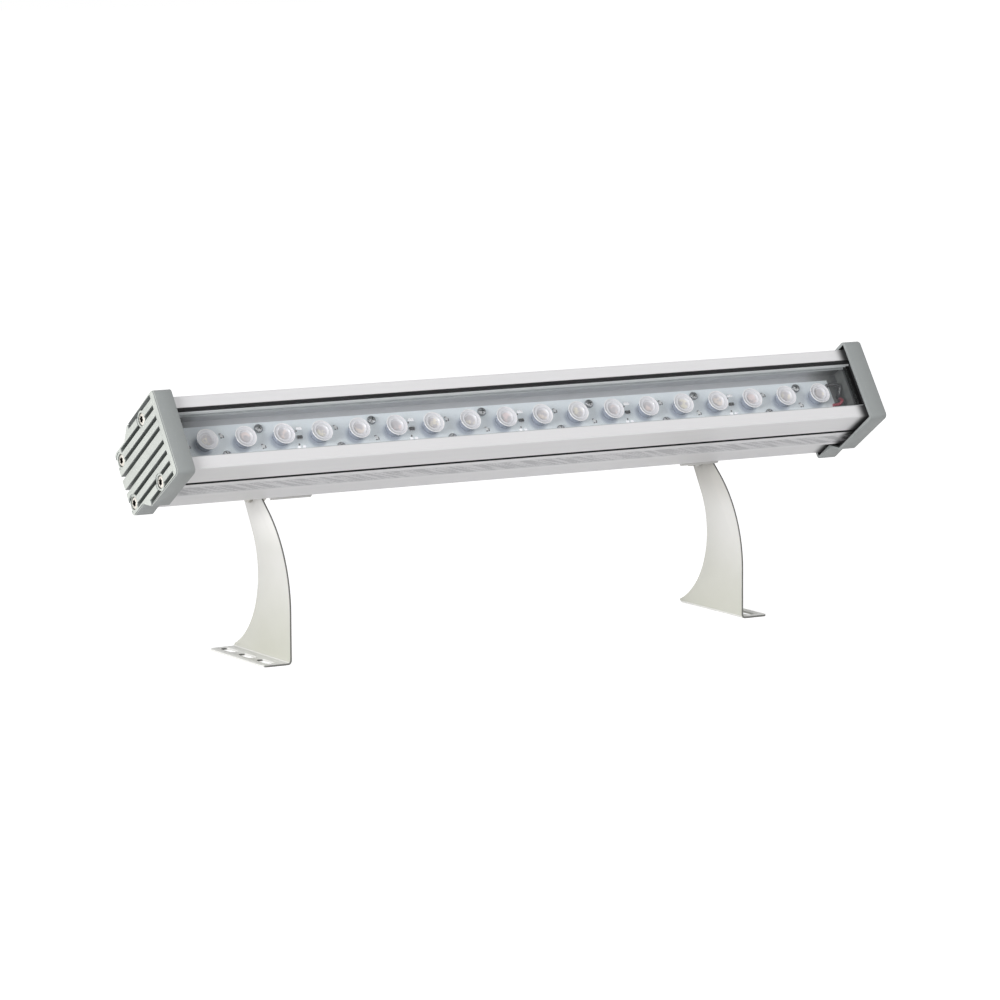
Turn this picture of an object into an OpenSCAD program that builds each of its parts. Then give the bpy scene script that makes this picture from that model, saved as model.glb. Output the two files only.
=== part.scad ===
// Linear wall washer light: a row of LEDs behind glass in an extruded aluminium
// housing, closed by two ribbed end caps and carried by two curved sheet metal arms.
// Millimetres, +Z up, X along the lamp, the light leans towards -Y.
// The origin is under the middle of the overall box, on the ground that the feet stand on.
// Lamp pieces are drawn in the lamp's own frame: x along, y across, z from the
// rear face of the housing (z = 0) towards the light. The module lamp_place() tilts them.

/* [LED row] */
// Number of LEDs, in groups of three
led_count = 18; // [15:3:30]
// Distance from one LED to the next
led_pitch = 25.5; // [22:0.5:34]
// Distance of the row's middle to the right of the housing's middle
board_shift = 0.9; // [-1.5:0.1:1.5]
// Radius of a lens at its rim
lens_rim_r = 6.9; // [5.5:0.1:8]
// Radius of a lens where it stands on the board
lens_foot_r = 5.1; // [4.2:0.1:6]
// Height of a lens
lens_h = 6.5; // [5:0.1:9]
// Width of the circuit board
board_w = 23.2; // [20:0.1:28]
// Thickness of the circuit board
board_t = 1.6; // [1:0.1:3]
// Distance of the upper row of board screws from the middle
upper_screw_y = 7.3; // [6.5:0.1:8.5]
// Distance of the lower row of board screws from the middle
lower_screw_y = 8.6; // [6.5:0.1:8.6]

/* [Housing profile] */
// Width over the two front lips
housing_w = 48.5; // [46:0.5:60]
// Width of the window between the lips
window_w = 32.9; // [30:0.1:34]
// Height of the channel floor over the rear face
floor_z = 42; // [40:0.5:50]
// Thickness of the channel floor
floor_t = 2.6; // [2:0.1:3]
// Width at the lower end of the side faces
waist_w = 46.8; // [45:0.1:48.5]
// Height of the lower end of the side faces
waist_z = 22.9; // [21:0.1:24]
// Width of the rear block
block_w = 36; // [34.5:0.1:37]
// Height where the side of the rear block begins
block_z = 14.4; // [13:0.1:16]
// Wall thickness round the wiring space
wall_t = 2.4; // [1.8:0.1:3]
// Number of fine ribs on each side face
rib_count = 8; // [4:1:8]
// Distance from one fine rib to the next
rib_pitch = 1.3; // [1:0.1:1.4]
// Depth that the grooves between the fine ribs are cut
rib_depth = 0.4; // [0.2:0.05:0.5]
// Bare housing beyond each end of the board
end_margin = 11.5; // [11:0.5:20]

/* [Screw ports] */
// Radius of the screw ports
port_r = 2.1; // [1.8:0.05:2.3]
// Distance of the front ports from the middle
front_port_y = 21; // [20.6:0.1:21.4]
// Height of the front ports
front_port_z = 40.5; // [40:0.1:42]
// Distance of the rear ports from the middle
rear_port_y = 14.4; // [13.5:0.1:15]
// Height of the rear ports
rear_port_z = 1.9; // [1.8:0.1:2.4]
// Width of the opening along a front port
front_mouth = 2.6; // [2:0.1:3.6]
// Width of the opening along a rear port
rear_mouth = 2.6; // [2:0.1:3.6]

/* [Rear slot] */
// Width of the slot's mouth
slot_mouth = 5.6; // [5.4:0.1:7]
// Width of the slot inside
slot_w = 12; // [11:0.1:14]
// Thickness of the slot's lips
slot_lip = 2; // [1.5:0.1:2.5]
// Depth of the slot behind its lips
slot_h = 4; // [3.5:0.1:5]

/* [Glass and seals] */
// Thickness of the front glass
glass_t = 3; // [2:0.5:5]
// Height of the lips over the glass
lip_over_glass = 4; // [3.5:0.5:9]
// Clear space between the lenses and the glass
glass_over_lens = 3.5; // [0.3:0.1:4]
// Width of the ledge that the glass lies on
ledge_w = 1.2; // [0.8:0.1:2]
// Thickness of the ledge
ledge_t = 1; // [0.6:0.1:1.5]
// Thickness of a glass seal against the wall
seal_w = 1.4; // [1:0.1:2]
// Height of the lower glass seal over the glass; the upper one reaches the lip's edge
lower_seal_h = 1.1; // [1:0.1:2]
// Thickness of an end seal
end_seal_t = 1.75; // [1:0.05:3]
// Thickness of the dam at each end of the channel
dam_t = 1.6; // [1:0.1:1.8]

/* [End caps] */
// Thickness of the cap's plate
cap_t = 7.25; // [6:0.05:9]
// Length of housing that the cap's collar covers
collar_overlap = 3.2; // [2:0.1:6]
// Thickness of the collar's wall
collar_wall = 2; // [1.5:0.1:3]
// Gap between the collar and the side faces
collar_side_gap = 1.75; // [1:0.05:2]
// Gap between the collar and the front lips
collar_front_gap = 2.4; // [1.5:0.1:3.5]
// Gap between the collar and the rear block
collar_rear_gap = 1.2; // [0.8:0.1:1.5]
// Corner radius of the cap
cap_r = 3; // [2.2:0.1:4]
// Width of a groove in the cap
groove_w = 2.9; // [2:0.1:3]
// Depth of a groove in the cap
groove_depth = 4.8; // [3:0.1:5.2]
// Distance of the first grooves from the middle
groove_first = 4.5; // [4.2:0.05:4.6]
// Distance from one groove to the next
groove_pitch = 6.95; // [6.8:0.05:7]
// Plain border in front of the grooves
groove_border = 5; // [3:0.1:7]
// Radius of the boss round a front screw
front_boss_r = 5.2; // [4.7:0.1:5.6]
// Radius of the boss round a rear screw
rear_boss_r = 5.4; // [4.7:0.1:5.6]
// Depth of the bosses' faces below the cap's ribs
boss_drop = 0.6; // [0:0.1:1.5]
// Radius of a cap screw's head
cap_head_r = 3.9; // [3.6:0.1:4.1]
// Height of a cap screw's head
cap_head_h = 2.8; // [2:0.1:3.5]
// Length of a cap screw's shank
cap_screw_len = 22; // [16:1:28]

/* [Arms] */
// Distance from the housing's left end to the middle of the left arm's sheet
left_arm_inset = 81.5; // [75:0.1:95]
// Distance from the housing's right end to the middle of the right arm's sheet
right_arm_inset = 78.4; // [75:0.1:95]
// Thickness of the arm's sheet
arm_t = 1.2; // [1:0.1:2.5]
// Height of the tilt axis over the ground
pivot_h = 97.25; // [94:0.25:115]
// Radius of the arm's top end round the tilt axis
arm_end_r = 9; // [8.5:0.1:9.8]
// Distance of the arm's front edge ahead of the tilt axis
arm_front = 50.4; // [48:0.1:56]
// Radius of the curved front edge
front_r = 76.3; // [68:0.1:84]
// Straight length of the front edge between its curve and the rounded top end
front_flat = 23; // [10:0.5:30]
// Width of the arm at its waist
arm_waist = 41; // [36:0.1:44]
// Radius of the curved back edge
back_r = 50.5; // [47:0.5:60]
// Straight length of the back edge between its curve and the rounded top end
back_flat = 20; // [10:0.5:26]
// Angle below level at which the back edge turns tighter into the toe
toe_angle = 31; // [25:1:36]
// Length of the foot from front to back
foot_len = 73; // [68:0.5:78]
// Width of the foot from the arm's inner face
foot_w = 19.5; // [18.5:0.5:26]
// Radius of the fold inside the foot
foot_fold_r = 1.5; // [1:0.1:2.5]
// Corner radius at the back of the foot
foot_back_r = 5.5; // [4:0.5:8]
// Corner radius at the front of the foot
foot_front_r = 3; // [1:0.5:5]
// Width of a fixing slot
foot_slot_w = 6; // [5:0.1:8]
// Length of a fixing slot
foot_slot_len = 16.5; // [12:0.5:18]
// Distance from one fixing slot to the next
foot_slot_pitch = 23.5; // [19.5:0.5:23.5]
// Number of fixing slots in a foot
foot_slot_count = 3; // [2:1:3]

/* [Hinge brackets] */
// Angle that the light leans forward from straight up
lean = 54.9; // [45:0.1:60]
// Place of the tilt axis across the lamp
pivot_y = -4; // [-5:0.1:0]
// Distance of the tilt axis behind the rear face
pivot_drop = 20; // [18:0.1:24]
// Length of the bracket's base along the lamp
bracket_len = 27.7; // [26:0.1:34]
// Thickness of the bracket's sheet
bracket_t = 2; // [1.5:0.1:2.5]
// Radius of the bracket's ear round the tilt axis
ear_r = 5.7; // [5.6:0.1:7.5]
// Radius of the fold inside the bracket
bracket_fold_r = 1; // [0.5:0.1:1.5]
// Distance between a bracket's two clamp screws
clamp_pitch = 12; // [10.5:0.5:13]
// Radius of the clamp screws
clamp_r = 2.5; // [2:0.1:2.6]
// Radius of a clamp screw's head
clamp_head_r = 4.6; // [4:0.1:5]
// Radius of the tilt bolt
pivot_r = 3; // [2.5:0.1:3.5]
// Radius of the tilt bolt's head
pivot_head_r = 5; // [4.6:0.1:6]
// Height of the tilt bolt's head
pivot_head_h = 3; // [2:0.1:4]
// Thickness of the friction washer between ear and arm
friction_t = 0.6; // [0.4:0.1:1.5]

/* [Cable gland] */
// Distance of the gland from the right end of the housing
gland_inset = 26; // [24:1:30]
// Radius of the gland's thread
gland_r = 5.9; // [5:0.1:6]
// Width across the flats of the gland's hexagons
gland_flats = 15; // [14:0.5:17]
// Radius of the hole through the gland
gland_bore_r = 3.6; // [3:0.1:4]
// Radius of a wire's insulation
wire_r = 0.75; // [0.5:0.05:0.9]

/* [Fits] */
// Gap between pieces that lie loosely in their seats
loose = 0.2; // [0.1:0.05:0.3]
// Gap between surfaces that slide past each other
slide_gap = 0.15; // [0.1:0.05:0.3]
// Radial clearance of the tilt bolt in the arm
pivot_clear = 0.05; // [0.02:0.01:0.1]
// Radial clearance of screws in plain holes
screw_clear = 0.1; // [0.05:0.05:0.3]

/* [Hidden] */
$fn = 48;
board_len = led_count * led_pitch;
housing_len = board_len + 2 * end_margin;
housing_x = housing_len / 2;
cap_in_x = housing_x + end_seal_t;
cap_out_x = cap_in_x + cap_t;
board_top = floor_z + board_t;
glass_z = board_top + lens_h + glass_over_lens;
glass_top = glass_z + glass_t;
lip_z = glass_top + lip_over_glass;
lip_hw = housing_w / 2;
window_hw = window_w / 2;
waist_hw = waist_w / 2;
block_hw = block_w / 2;
edge_chamfer = 0.6;
block_corner = 1;
port_metal = 1.6;
cavity_slant = 2;
cavity_rise = 1;
// Half width of the side face at a height between waist and lips
function side_hw(z) = waist_hw + (lip_hw - waist_hw) * (z - waist_z) / (lip_z - waist_z);
rib_low_z = waist_z + 2.5;

// Cap outline: half widths, heights and the slope between side and rear block
cap_front_z = lip_z + collar_front_gap + collar_wall;
cap_rear_z = -collar_rear_gap - collar_wall;
cap_front_hw = lip_hw + collar_side_gap + collar_wall;
cap_waist_hw = waist_hw + collar_side_gap + collar_wall;
cap_block_hw = block_hw + collar_rear_gap + collar_wall;
cap_step_drop = 1;
cap_waist_z = waist_z - cap_step_drop;
cap_block_z = block_z - cap_step_drop;
cap_slope = atan2(cap_waist_hw - cap_block_hw, cap_waist_z - cap_block_z);
collar_x = housing_x - collar_overlap;
rear_groove_end = cap_rear_z + collar_wall;
groove_front_z = cap_front_z - groove_border;
rib_three_end = cap_block_z - 7;
rib_four_end = waist_z + 0.5;
groove_ends = [cap_rear_z - 1, rear_groove_end, rib_three_end, rib_four_end];
screw_spots = [
    [-front_port_y, front_port_z, front_boss_r], [front_port_y, front_port_z, front_boss_r],
    [-rear_port_y, rear_port_z, rear_boss_r], [rear_port_y, rear_port_z, rear_boss_r]
];
cap_shank_r = port_r - 0.05;
cap_head_sink = 0.2;
cap_socket_r = 1.8;
cap_socket_floor = 0.8;
cap_seat_x = cap_out_x - boss_drop - cap_head_sink - cap_head_h;
cap_rim = 0.8;

// Arms and brackets along X, counted outwards from the middle of the arm's sheet
arm_in_x = -arm_t / 2;
arm_out_x = arm_t / 2;
ear_out_x = arm_in_x - slide_gap - friction_t;
ear_in_x = ear_out_x - bracket_t;
base_x = ear_out_x - bracket_len;
base_z = -slide_gap;
base_low_z = base_z - bracket_t;
pivot_z = -pivot_drop;
pivot_hole_r = pivot_r + pivot_clear;
clamp_mid_x = (base_x + ear_in_x - bracket_fold_r) / 2;
clamp_head_h = 2.7;
clamp_crown_r = 6.4;
clamp_crown_cut = 0.4;
clamp_socket_r = 1.7;
clamp_socket_depth = 1.6;
slot_nut_h = 3;
slot_nut_len = clamp_pitch + 2 * clamp_head_r;
washer_t = 1;
washer_r = 5;
pivot_nut_h = 4.5;
pivot_nut_flats = 9;
pivot_head_round = 1.6;
pivot_socket_r = 2;
pivot_socket_depth = 1.6;
bolt_end = 1.2;
ear_relief = 0.8;
thread_gap = 0.02;

// Side outline of an arm, seen along X, with the tilt axis above y = 0. Each curve's middle
// lies as far below the axis as its radius and the straight length above it ask for.
end_c = [0, pivot_h];
front_out = front_r - arm_front;
front_to_end = front_r - arm_end_r;
front_c = [front_out, pivot_h - sqrt(pow(front_to_end, 2) - pow(front_out, 2) + pow(front_flat, 2))];
back_out = arm_waist - arm_front + back_r;
back_to_end = back_r + arm_end_r;
back_c = [back_out, pivot_h - sqrt(pow(back_to_end, 2) - pow(back_out, 2) + pow(back_flat, 2))];
toe_tip = [foot_len - arm_front, foot_fold_r + arm_t];
function toward(a) = [cos(a), sin(a)];
function arc(c, r, a0, a1, n) = [for (i = [0 : n]) c + r * toward(a0 + (a1 - a0) * i / n)];
end_from_front = end_c - front_c;
front_a = atan2(end_from_front.y, end_from_front.x)
    + acos(front_to_end / norm(end_from_front));
end_from_back = end_c - back_c;
back_a = atan2(end_from_back.y, end_from_back.x)
    + acos(back_to_end / norm(end_from_back));
toe_a = 180 + toe_angle;
toe_gap = toe_tip - back_c - back_r * toward(toe_a);
toe_r = -(toe_gap * toe_gap) / (2 * toe_gap * toward(toe_a));
toe_c = back_c + (back_r - toe_r) * toward(toe_a);
toe_end_a = 360 + atan2(toe_tip.y - toe_c.y, toe_tip.x - toe_c.x);
fold_out_r = foot_fold_r + arm_t;

// Place of the tilt axis so that the overall box is centred on Y = 0
front_reach = (pivot_y + cap_front_hw - cap_r) * cos(lean)
    + (cap_front_z - cap_r - pivot_z) * sin(lean) + cap_r;
back_reach = foot_len - arm_front;
axis_y = (front_reach - back_reach) / 2;

// Wires and gland
gland_x = housing_x - gland_inset;
wire_hole_r = 2.4;
wire_hole_x = housing_x - 4.6;
wire_hole_y = -0.6;
web_z = slot_lip + slot_h;
web_t = 2.4;
cavity_low = web_z + web_t;
cavity_top = floor_z - floor_t;
flange_h = 5;
flange_seal_t = 1;
stub_h = 2;
dome_h = 9;
dome_round = 2.5;
nut_gap = 0.3;
nut_hex_h = 5;
nut_overlap = 2.4;
insert_len = 10;
insert_rise = 3;
insert_wall = 1;

// Puts the lamp's frame at its tilt on the axis of the arms
module lamp_place() {
    translate([0, axis_y, pivot_h])
        rotate([lean, 0, 0])
            translate([0, -pivot_y, -pivot_z])
                children();
}

// Extrudes a section drawn in y and z along x
module along_x(x0, x1) {
    translate([x0, 0, 0])
        rotate([90, 0, 90])
            linear_extrude(x1 - x0)
                children();
}

// A round bar along x
module bar_x(x0, x1, y, z, r) {
    translate([x0, y, z])
        rotate([0, 90, 0])
            cylinder(h = x1 - x0, r = r);
}

// Draws its children on the right side, or mirrored on the left one
module on_side(side) {
    if (side < 0) mirror([1, 0, 0]) children();
    else children();
}

// The same with x = 0 at the middle of that side's arm sheet
module at_arm(side) {
    inset = side < 0 ? left_arm_inset : right_arm_inset;
    on_side(side) translate([housing_x - inset, 0, 0]) children();
}

// Joins the right half of an outline with its mirror image
function both_halves(half) = concat(half, [for (i = [len(half) - 1 : -1 : 0]) [-half[i].x, half[i].y]]);

module housing_outline() {
    polygon(both_halves([
        [block_hw - block_corner, 0], [block_hw, block_corner], [block_hw, block_z],
        [waist_hw, waist_z], [lip_hw, lip_z - edge_chamfer], [lip_hw - edge_chamfer, lip_z]
    ]));
}

// Wiring space behind the channel floor, drawn in to leave metal round the front ports
module wiring_space() {
    port_wall = front_port_y - port_r - port_metal;
    neck_z = front_port_z - port_r - port_metal;
    wide_hw = side_hw(waist_z) - wall_t - rib_depth;
    polygon(both_halves([
        [block_hw - wall_t, cavity_low], [block_hw - wall_t, block_z + cavity_rise],
        [wide_hw, waist_z + cavity_rise], [wide_hw, neck_z - cavity_slant],
        [port_wall, neck_z], [port_wall, cavity_top]
    ]));
}

module screw_ports() {
    for (side = [-1, 1]) {
        translate([side * front_port_y, front_port_z]) {
            circle(port_r);
            translate([side * housing_w / 4, 0]) square([housing_w / 2, front_mouth], center = true);
        }
        translate([side * rear_port_y, rear_port_z]) {
            circle(port_r);
            translate([0, -rear_port_z]) square([rear_mouth, 2 * rear_port_z], center = true);
        }
    }
}

module fine_ribs() {
    for (side = [-1, 1], i = [0 : rib_count]) {
        z = rib_low_z + i * rib_pitch;
        translate([side * side_hw(z), z]) circle(rib_depth);
    }
}

module rear_slot() {
    translate([-slot_mouth / 2, -1]) square([slot_mouth, slot_lip + 2]);
    translate([-slot_w / 2, slot_lip]) square([slot_w, slot_h]);
}

module glass_ledges() {
    for (side = [-1, 1])
        translate([side * (window_hw - ledge_w / 2), glass_z - ledge_t / 2])
            square([ledge_w, ledge_t], center = true);
}

// X of the space between one LED and the next, counted from the left
function gap_x(g) = board_shift + (g - led_count / 2) * led_pitch;
function led_x(i) = gap_x(i + 0.5);
upper_gaps = [for (g = [2 : 3 : led_count - 1]) g];
lower_gaps = [for (g = [1 : 3 : led_count - 2]) g];
chip_gaps = [for (g = [3 : 3 : led_count - 3]) g];
board_screw_spots = concat(
    [for (g = upper_gaps) [gap_x(g), upper_screw_y]],
    [for (g = lower_gaps) [gap_x(g), -lower_screw_y]]
);
board_shank_r = 1.5;
board_head_r = 2.75;
board_head_h = 1.9;
board_crown_r = 4.2;
board_crown_cut = 0.1;
board_socket = [2.7, 0.63, 0.8];

module housing_profile() {
    color("gainsboro") lamp_place() difference() {
        along_x(-housing_x, housing_x) {
            difference() {
                housing_outline();
                translate([-window_hw, floor_z]) square([window_w, lip_z]);
                wiring_space();
                screw_ports();
                fine_ribs();
                rear_slot();
            }
            glass_ledges();
        }
        for (spot = board_screw_spots)
            translate([spot.x, spot.y, cavity_top - 1])
                cylinder(h = floor_t + 2, r = board_shank_r + screw_clear);
        translate([wire_hole_x, wire_hole_y, cavity_top - 1]) cylinder(h = floor_t + 2, r = wire_hole_r);
        translate([gland_x, 0, -1]) cylinder(h = cavity_low + 2, r = gland_r + screw_clear);
    }
}

module front_glass() {
    color("lightcyan", 0.4) lamp_place()
        along_x(loose - housing_x, housing_x - loose)
            translate([loose - window_hw, glass_z]) square([window_w - 2 * loose, glass_t]);
}

// Strip that wedges the glass against one wall, with a round bead on the glass
module glass_seal(side) {
    bead_r = seal_w * 0.7;
    color("dimgray") lamp_place() along_x(loose - housing_x, housing_x - loose) {
        translate([side > 0 ? window_hw - seal_w : -window_hw, glass_top])
            square([seal_w, side > 0 ? lip_over_glass - edge_chamfer : lower_seal_h]);
        intersection() {
            translate([side * (window_hw - seal_w), glass_top]) circle(bead_r);
            translate([-window_hw, glass_top]) square([window_w, lip_over_glass]);
        }
    }
}

// Dam that closes one end of the channel under the glass
module channel_dam(side) {
    color("silver") lamp_place() on_side(side)
        along_x(housing_x - loose - dam_t, housing_x - loose) {
            translate([loose - window_hw, floor_z])
                square([window_w - 2 * loose, glass_z - ledge_t - floor_z]);
            translate([ledge_w + loose - window_hw, floor_z])
                square([window_w - 2 * (ledge_w + loose), glass_z - floor_z]);
        }
}

module led_board() {
    color("aliceblue") lamp_place() difference() {
        translate([gap_x(0), -board_w / 2, floor_z]) cube([board_len, board_w, board_t]);
        for (spot = board_screw_spots)
            translate([spot.x, spot.y, floor_z - 1]) cylinder(h = board_t + 2, r = board_shank_r + screw_clear);
    }
}

emitter_w = 3.4;
emitter_h = 0.7;
emitter_dome_r = 1.4;
emitter_dome_h = 1;

module led_emitters() {
    color("khaki") lamp_place()
        for (i = [0 : led_count - 1])
            translate([led_x(i), 0, board_top]) {
                translate([0, 0, emitter_h / 2]) cube([emitter_w, emitter_w, emitter_h], center = true);
                cylinder(h = emitter_dome_h, r = emitter_dome_r);
            }
}

// Section of a lens cup: an outer cone, a stepped bowl and a room for the LED below
module lens_section() {
    wall = 0.7;
    room_r = emitter_w * 0.75;
    room_h = emitter_dome_h + wall / 2;
    rim_in_r = lens_rim_r - wall;
    rim_low_z = lens_h - wall;
    bowl_r = lens_rim_r * 0.6;
    bowl_z = lens_h * 0.5;
    polygon([
        [room_r, 0], [lens_foot_r, 0], [rim_in_r + wall / 3, rim_low_z - wall / 2], [lens_rim_r, rim_low_z],
        [lens_rim_r, lens_h], [rim_in_r, lens_h], [rim_in_r - wall, rim_low_z],
        [bowl_r + wall, bowl_z + wall], [bowl_r, bowl_z], [bowl_r - 2 * wall, room_h + 2 * wall],
        [0, room_h + wall], [0, room_h], [room_r, room_h]
    ]);
}

module lens_cups() {
    color("white", 0.6) lamp_place()
        for (i = [0 : led_count - 1])
            translate([led_x(i), 0, board_top]) rotate_extrude() lens_section();
}

module board_screws() {
    color("silver") lamp_place()
        for (spot = board_screw_spots)
            translate([spot.x, spot.y, board_top]) {
                translate([0, 0, -board_t - floor_t]) cylinder(h = board_t + floor_t, r = board_shank_r);
                difference() {
                    intersection() {
                        cylinder(h = board_head_h, r = board_head_r);
                        translate([0, 0, board_head_h + board_crown_cut - board_crown_r])
                            sphere(board_crown_r);
                    }
                    for (a = [20, 110])
                        rotate([0, 0, a]) translate([0, 0, board_head_h])
                            cube([board_socket.x, board_socket.y, 2 * board_socket.z], center = true);
                }
            }
}

module chip(x, y, size) {
    translate([x - size.x / 2, y - size.y / 2, board_top]) cube(size);
}

// One driver chip with its small parts for each group of three LEDs
module board_components() {
    driver = [3.4, 1.9, 1];
    resistor = [1.5, 1, 0.6];
    diode = [1.5, 2.8, 1.1];
    driver_y = -0.3;
    upper_resistor = [-1.3, 3.9];
    lower_resistor = [-1.8, -5.1];
    diode_y = 4.5;
    entry_diode = [gap_x(0) + 2, -0.9];
    color("dimgray") lamp_place() {
        for (g = chip_gaps) {
            chip(gap_x(g), driver_y, driver);
            for (spot = [upper_resistor, lower_resistor]) chip(gap_x(g) + spot.x, spot.y, resistor);
        }
        for (g = upper_gaps) chip(gap_x(g), -diode_y, diode);
        for (g = lower_gaps) chip(gap_x(g), diode_y, diode);
        chip(entry_diode.x, entry_diode.y, diode);
    }
}

// Smooth curve through points, with steps to each stretch
function curve_at(p, i, t) =
    let (a = p[max(i - 1, 0)], b = p[i], c = p[i + 1], d = p[min(i + 2, len(p) - 1)])
    0.5 * (2 * b + t * (c - a) + t * t * (2 * a - 5 * b + 4 * c - d)
        + t * t * t * (3 * b - 3 * c + d - a));
function smooth(p, steps) = concat(
    [for (i = [0 : len(p) - 2], k = [0 : steps - 1]) curve_at(p, i, k / steps)], [p[len(p) - 1]]
);
function unit(v) = v / norm(v);
function heading(p, i) = unit(p[min(i + 1, len(p) - 1)] - p[max(i - 1, 0)]);
function side_of(h) = unit(cross(h, [0.31, 1, 0.17]));
function ring(p, i, r, n) =
    let (h = heading(p, i), u = side_of(h), v = cross(h, u))
    [for (k = [0 : n - 1]) p[i] + r * (u * cos(360 * k / n) + v * sin(360 * k / n))];

// Round tube of radius r along a curve
module tube(route, r) {
    n = 8;
    rings = len(route);
    points = [for (i = [0 : rings - 1]) each ring(route, i, r, n)];
    walls = [for (i = [0 : rings - 2], k = [0 : n - 1], half = [0, 1])
        let (a = i * n + k, b = i * n + (k + 1) % n)
        half == 0 ? [a, b, b + n] : [a, b + n, a + n]];
    foot = [for (k = [n - 1 : -1 : 0]) k];
    head = [for (k = [0 : n - 1]) (rings - 1) * n + k];
    polyhedron(points, concat(walls, [foot, head]));
}

// Route of one wire from its pad on the board, through the floor and into the gland
function wire_route(pad_y, bulge_x, bulge_y, side) =
    let (
        pad_x = gap_x(led_count) - 2.5,
        lie = board_top + wire_r + 0.05,
        hole_y = wire_hole_y + side * 1.1,
        run_z = cavity_top - 8,
        end_z = 3
    )
    [
        [pad_x, pad_y, lie], [pad_x + 4.5, pad_y, lie + 0.9],
        [bulge_x, bulge_y, lie + 1.1], [wire_hole_x, hole_y, floor_z + 0.4],
        [wire_hole_x, hole_y, cavity_top - 1], [wire_hole_x - 3, hole_y, run_z + 1.5],
        [(wire_hole_x + gland_x) / 2 + 1, hole_y * 0.6 + side, run_z - 1],
        [gland_x + 3, side * 1.3, run_z - 5], [gland_x, side * 1.2, cavity_low + 8],
        [gland_x, side * 1.1, cavity_low], [gland_x, side * 1.1, end_z]
    ];

module red_wire() {
    color("firebrick") lamp_place()
        tube(smooth(wire_route(-6.9, wire_hole_x - 1.2, -4.6, -1), 4), wire_r);
}

module black_wire() {
    color("black") lamp_place()
        tube(smooth(wire_route(7.3, wire_hole_x + 0.8, 5.6, 1), 4), wire_r);
}

// Cap outline, drawn in by an even amount
module cap_outline(inset) {
    step = inset * tan(cap_slope / 2);
    r = max(cap_r - inset, 0.5);
    polygon(both_halves(concat(
        arc([cap_block_hw - inset - r, cap_rear_z + inset + r], r, -90, 0, 6),
        [[cap_block_hw - inset, cap_block_z + step], [cap_waist_hw - inset, cap_waist_z + step]],
        arc([cap_front_hw - inset - r, cap_front_z - inset - r], r, 0, 90, 6)
    )));
}

module end_seal(side) {
    color("black") lamp_place() on_side(side) difference() {
        along_x(housing_x, cap_in_x) cap_outline(collar_wall + loose);
        for (spot = screw_spots)
            bar_x(housing_x - 1, cap_in_x + 1, spot[0], spot[1], cap_shank_r + screw_clear);
    }
}

// Grooves that leave upright ribs on the cap, one list of end heights for both halves
module cap_grooves() {
    for (side = [-1, 1], i = [0 : 3])
        translate([cap_out_x - groove_depth,
            side * (groove_first + i * groove_pitch) - groove_w / 2, groove_ends[i]])
            cube([groove_depth + 1, groove_w, groove_front_z - groove_ends[i]]);
}

module end_cap(side) {
    color("darkseagreen") lamp_place() on_side(side) difference() {
        union() {
            difference() {
                union() {
                    along_x(collar_x, cap_out_x - cap_rim) cap_outline(0);
                    along_x(cap_out_x - cap_rim, cap_out_x) cap_outline(cap_rim / 2);
                }
                along_x(collar_x - 1, cap_in_x) cap_outline(collar_wall);
                cap_grooves();
            }
            for (spot = screw_spots) bar_x(cap_in_x, cap_out_x - cap_rim, spot[0], spot[1], spot[2]);
        }
        for (spot = screw_spots) {
            bar_x(collar_x, cap_out_x + 1, spot[0], spot[1], cap_shank_r + screw_clear);
            bar_x(cap_seat_x, cap_out_x + 1, spot[0], spot[1], cap_head_r + screw_clear);
            bar_x(cap_out_x - boss_drop, cap_out_x + 1, spot[0], spot[1], spot[2]);
        }
    }
}

module cap_screws(side) {
    color("lightgray") lamp_place() on_side(side)
        for (spot = screw_spots) difference() {
            union() {
                bar_x(cap_seat_x, cap_seat_x + cap_head_h, spot[0], spot[1], cap_head_r);
                bar_x(cap_seat_x - cap_screw_len, cap_seat_x, spot[0], spot[1], cap_shank_r);
            }
            translate([cap_seat_x + cap_socket_floor, spot[0], spot[1]])
                rotate([0, 90, 0]) cylinder(h = cap_head_h, r = cap_socket_r, $fn = 6);
        }
}

// A hexagon prism under the rear face, with its flats across Y
module hex_down(z_top, h, flats) {
    translate([gland_x, 0, z_top - h]) cylinder(h = h, r = flats / 2 / cos(30), $fn = 6);
}

module gland_body() {
    top = -flange_seal_t;
    color("dimgray") lamp_place() difference() {
        union() {
            hex_down(top, flange_h, gland_flats);
            translate([gland_x, 0, top - flange_h - stub_h])
                cylinder(h = stub_h + flange_h + flange_seal_t + cavity_low, r = gland_r);
        }
        translate([gland_x, 0, top - flange_h - stub_h - 1])
            cylinder(h = stub_h + flange_h + flange_seal_t + cavity_low + 2, r = gland_bore_r);
    }
}

module gland_seal() {
    color("black") lamp_place() translate([gland_x, 0, -flange_seal_t]) difference() {
        cylinder(h = flange_seal_t, r = gland_flats / 2 - loose);
        translate([0, 0, -1]) cylinder(h = flange_seal_t + 2, r = gland_r + screw_clear);
    }
}

// Rubber sleeve that grips a cable inside the gland
module gland_insert() {
    top = -flange_seal_t - flange_h + insert_rise;
    insert_r = gland_bore_r - loose / 2;
    color("black") lamp_place() translate([gland_x, 0, top - insert_len]) difference() {
        cylinder(h = insert_len, r = insert_r);
        translate([0, 0, -1]) cylinder(h = insert_len + 2, r = insert_r - insert_wall);
    }
}

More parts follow.
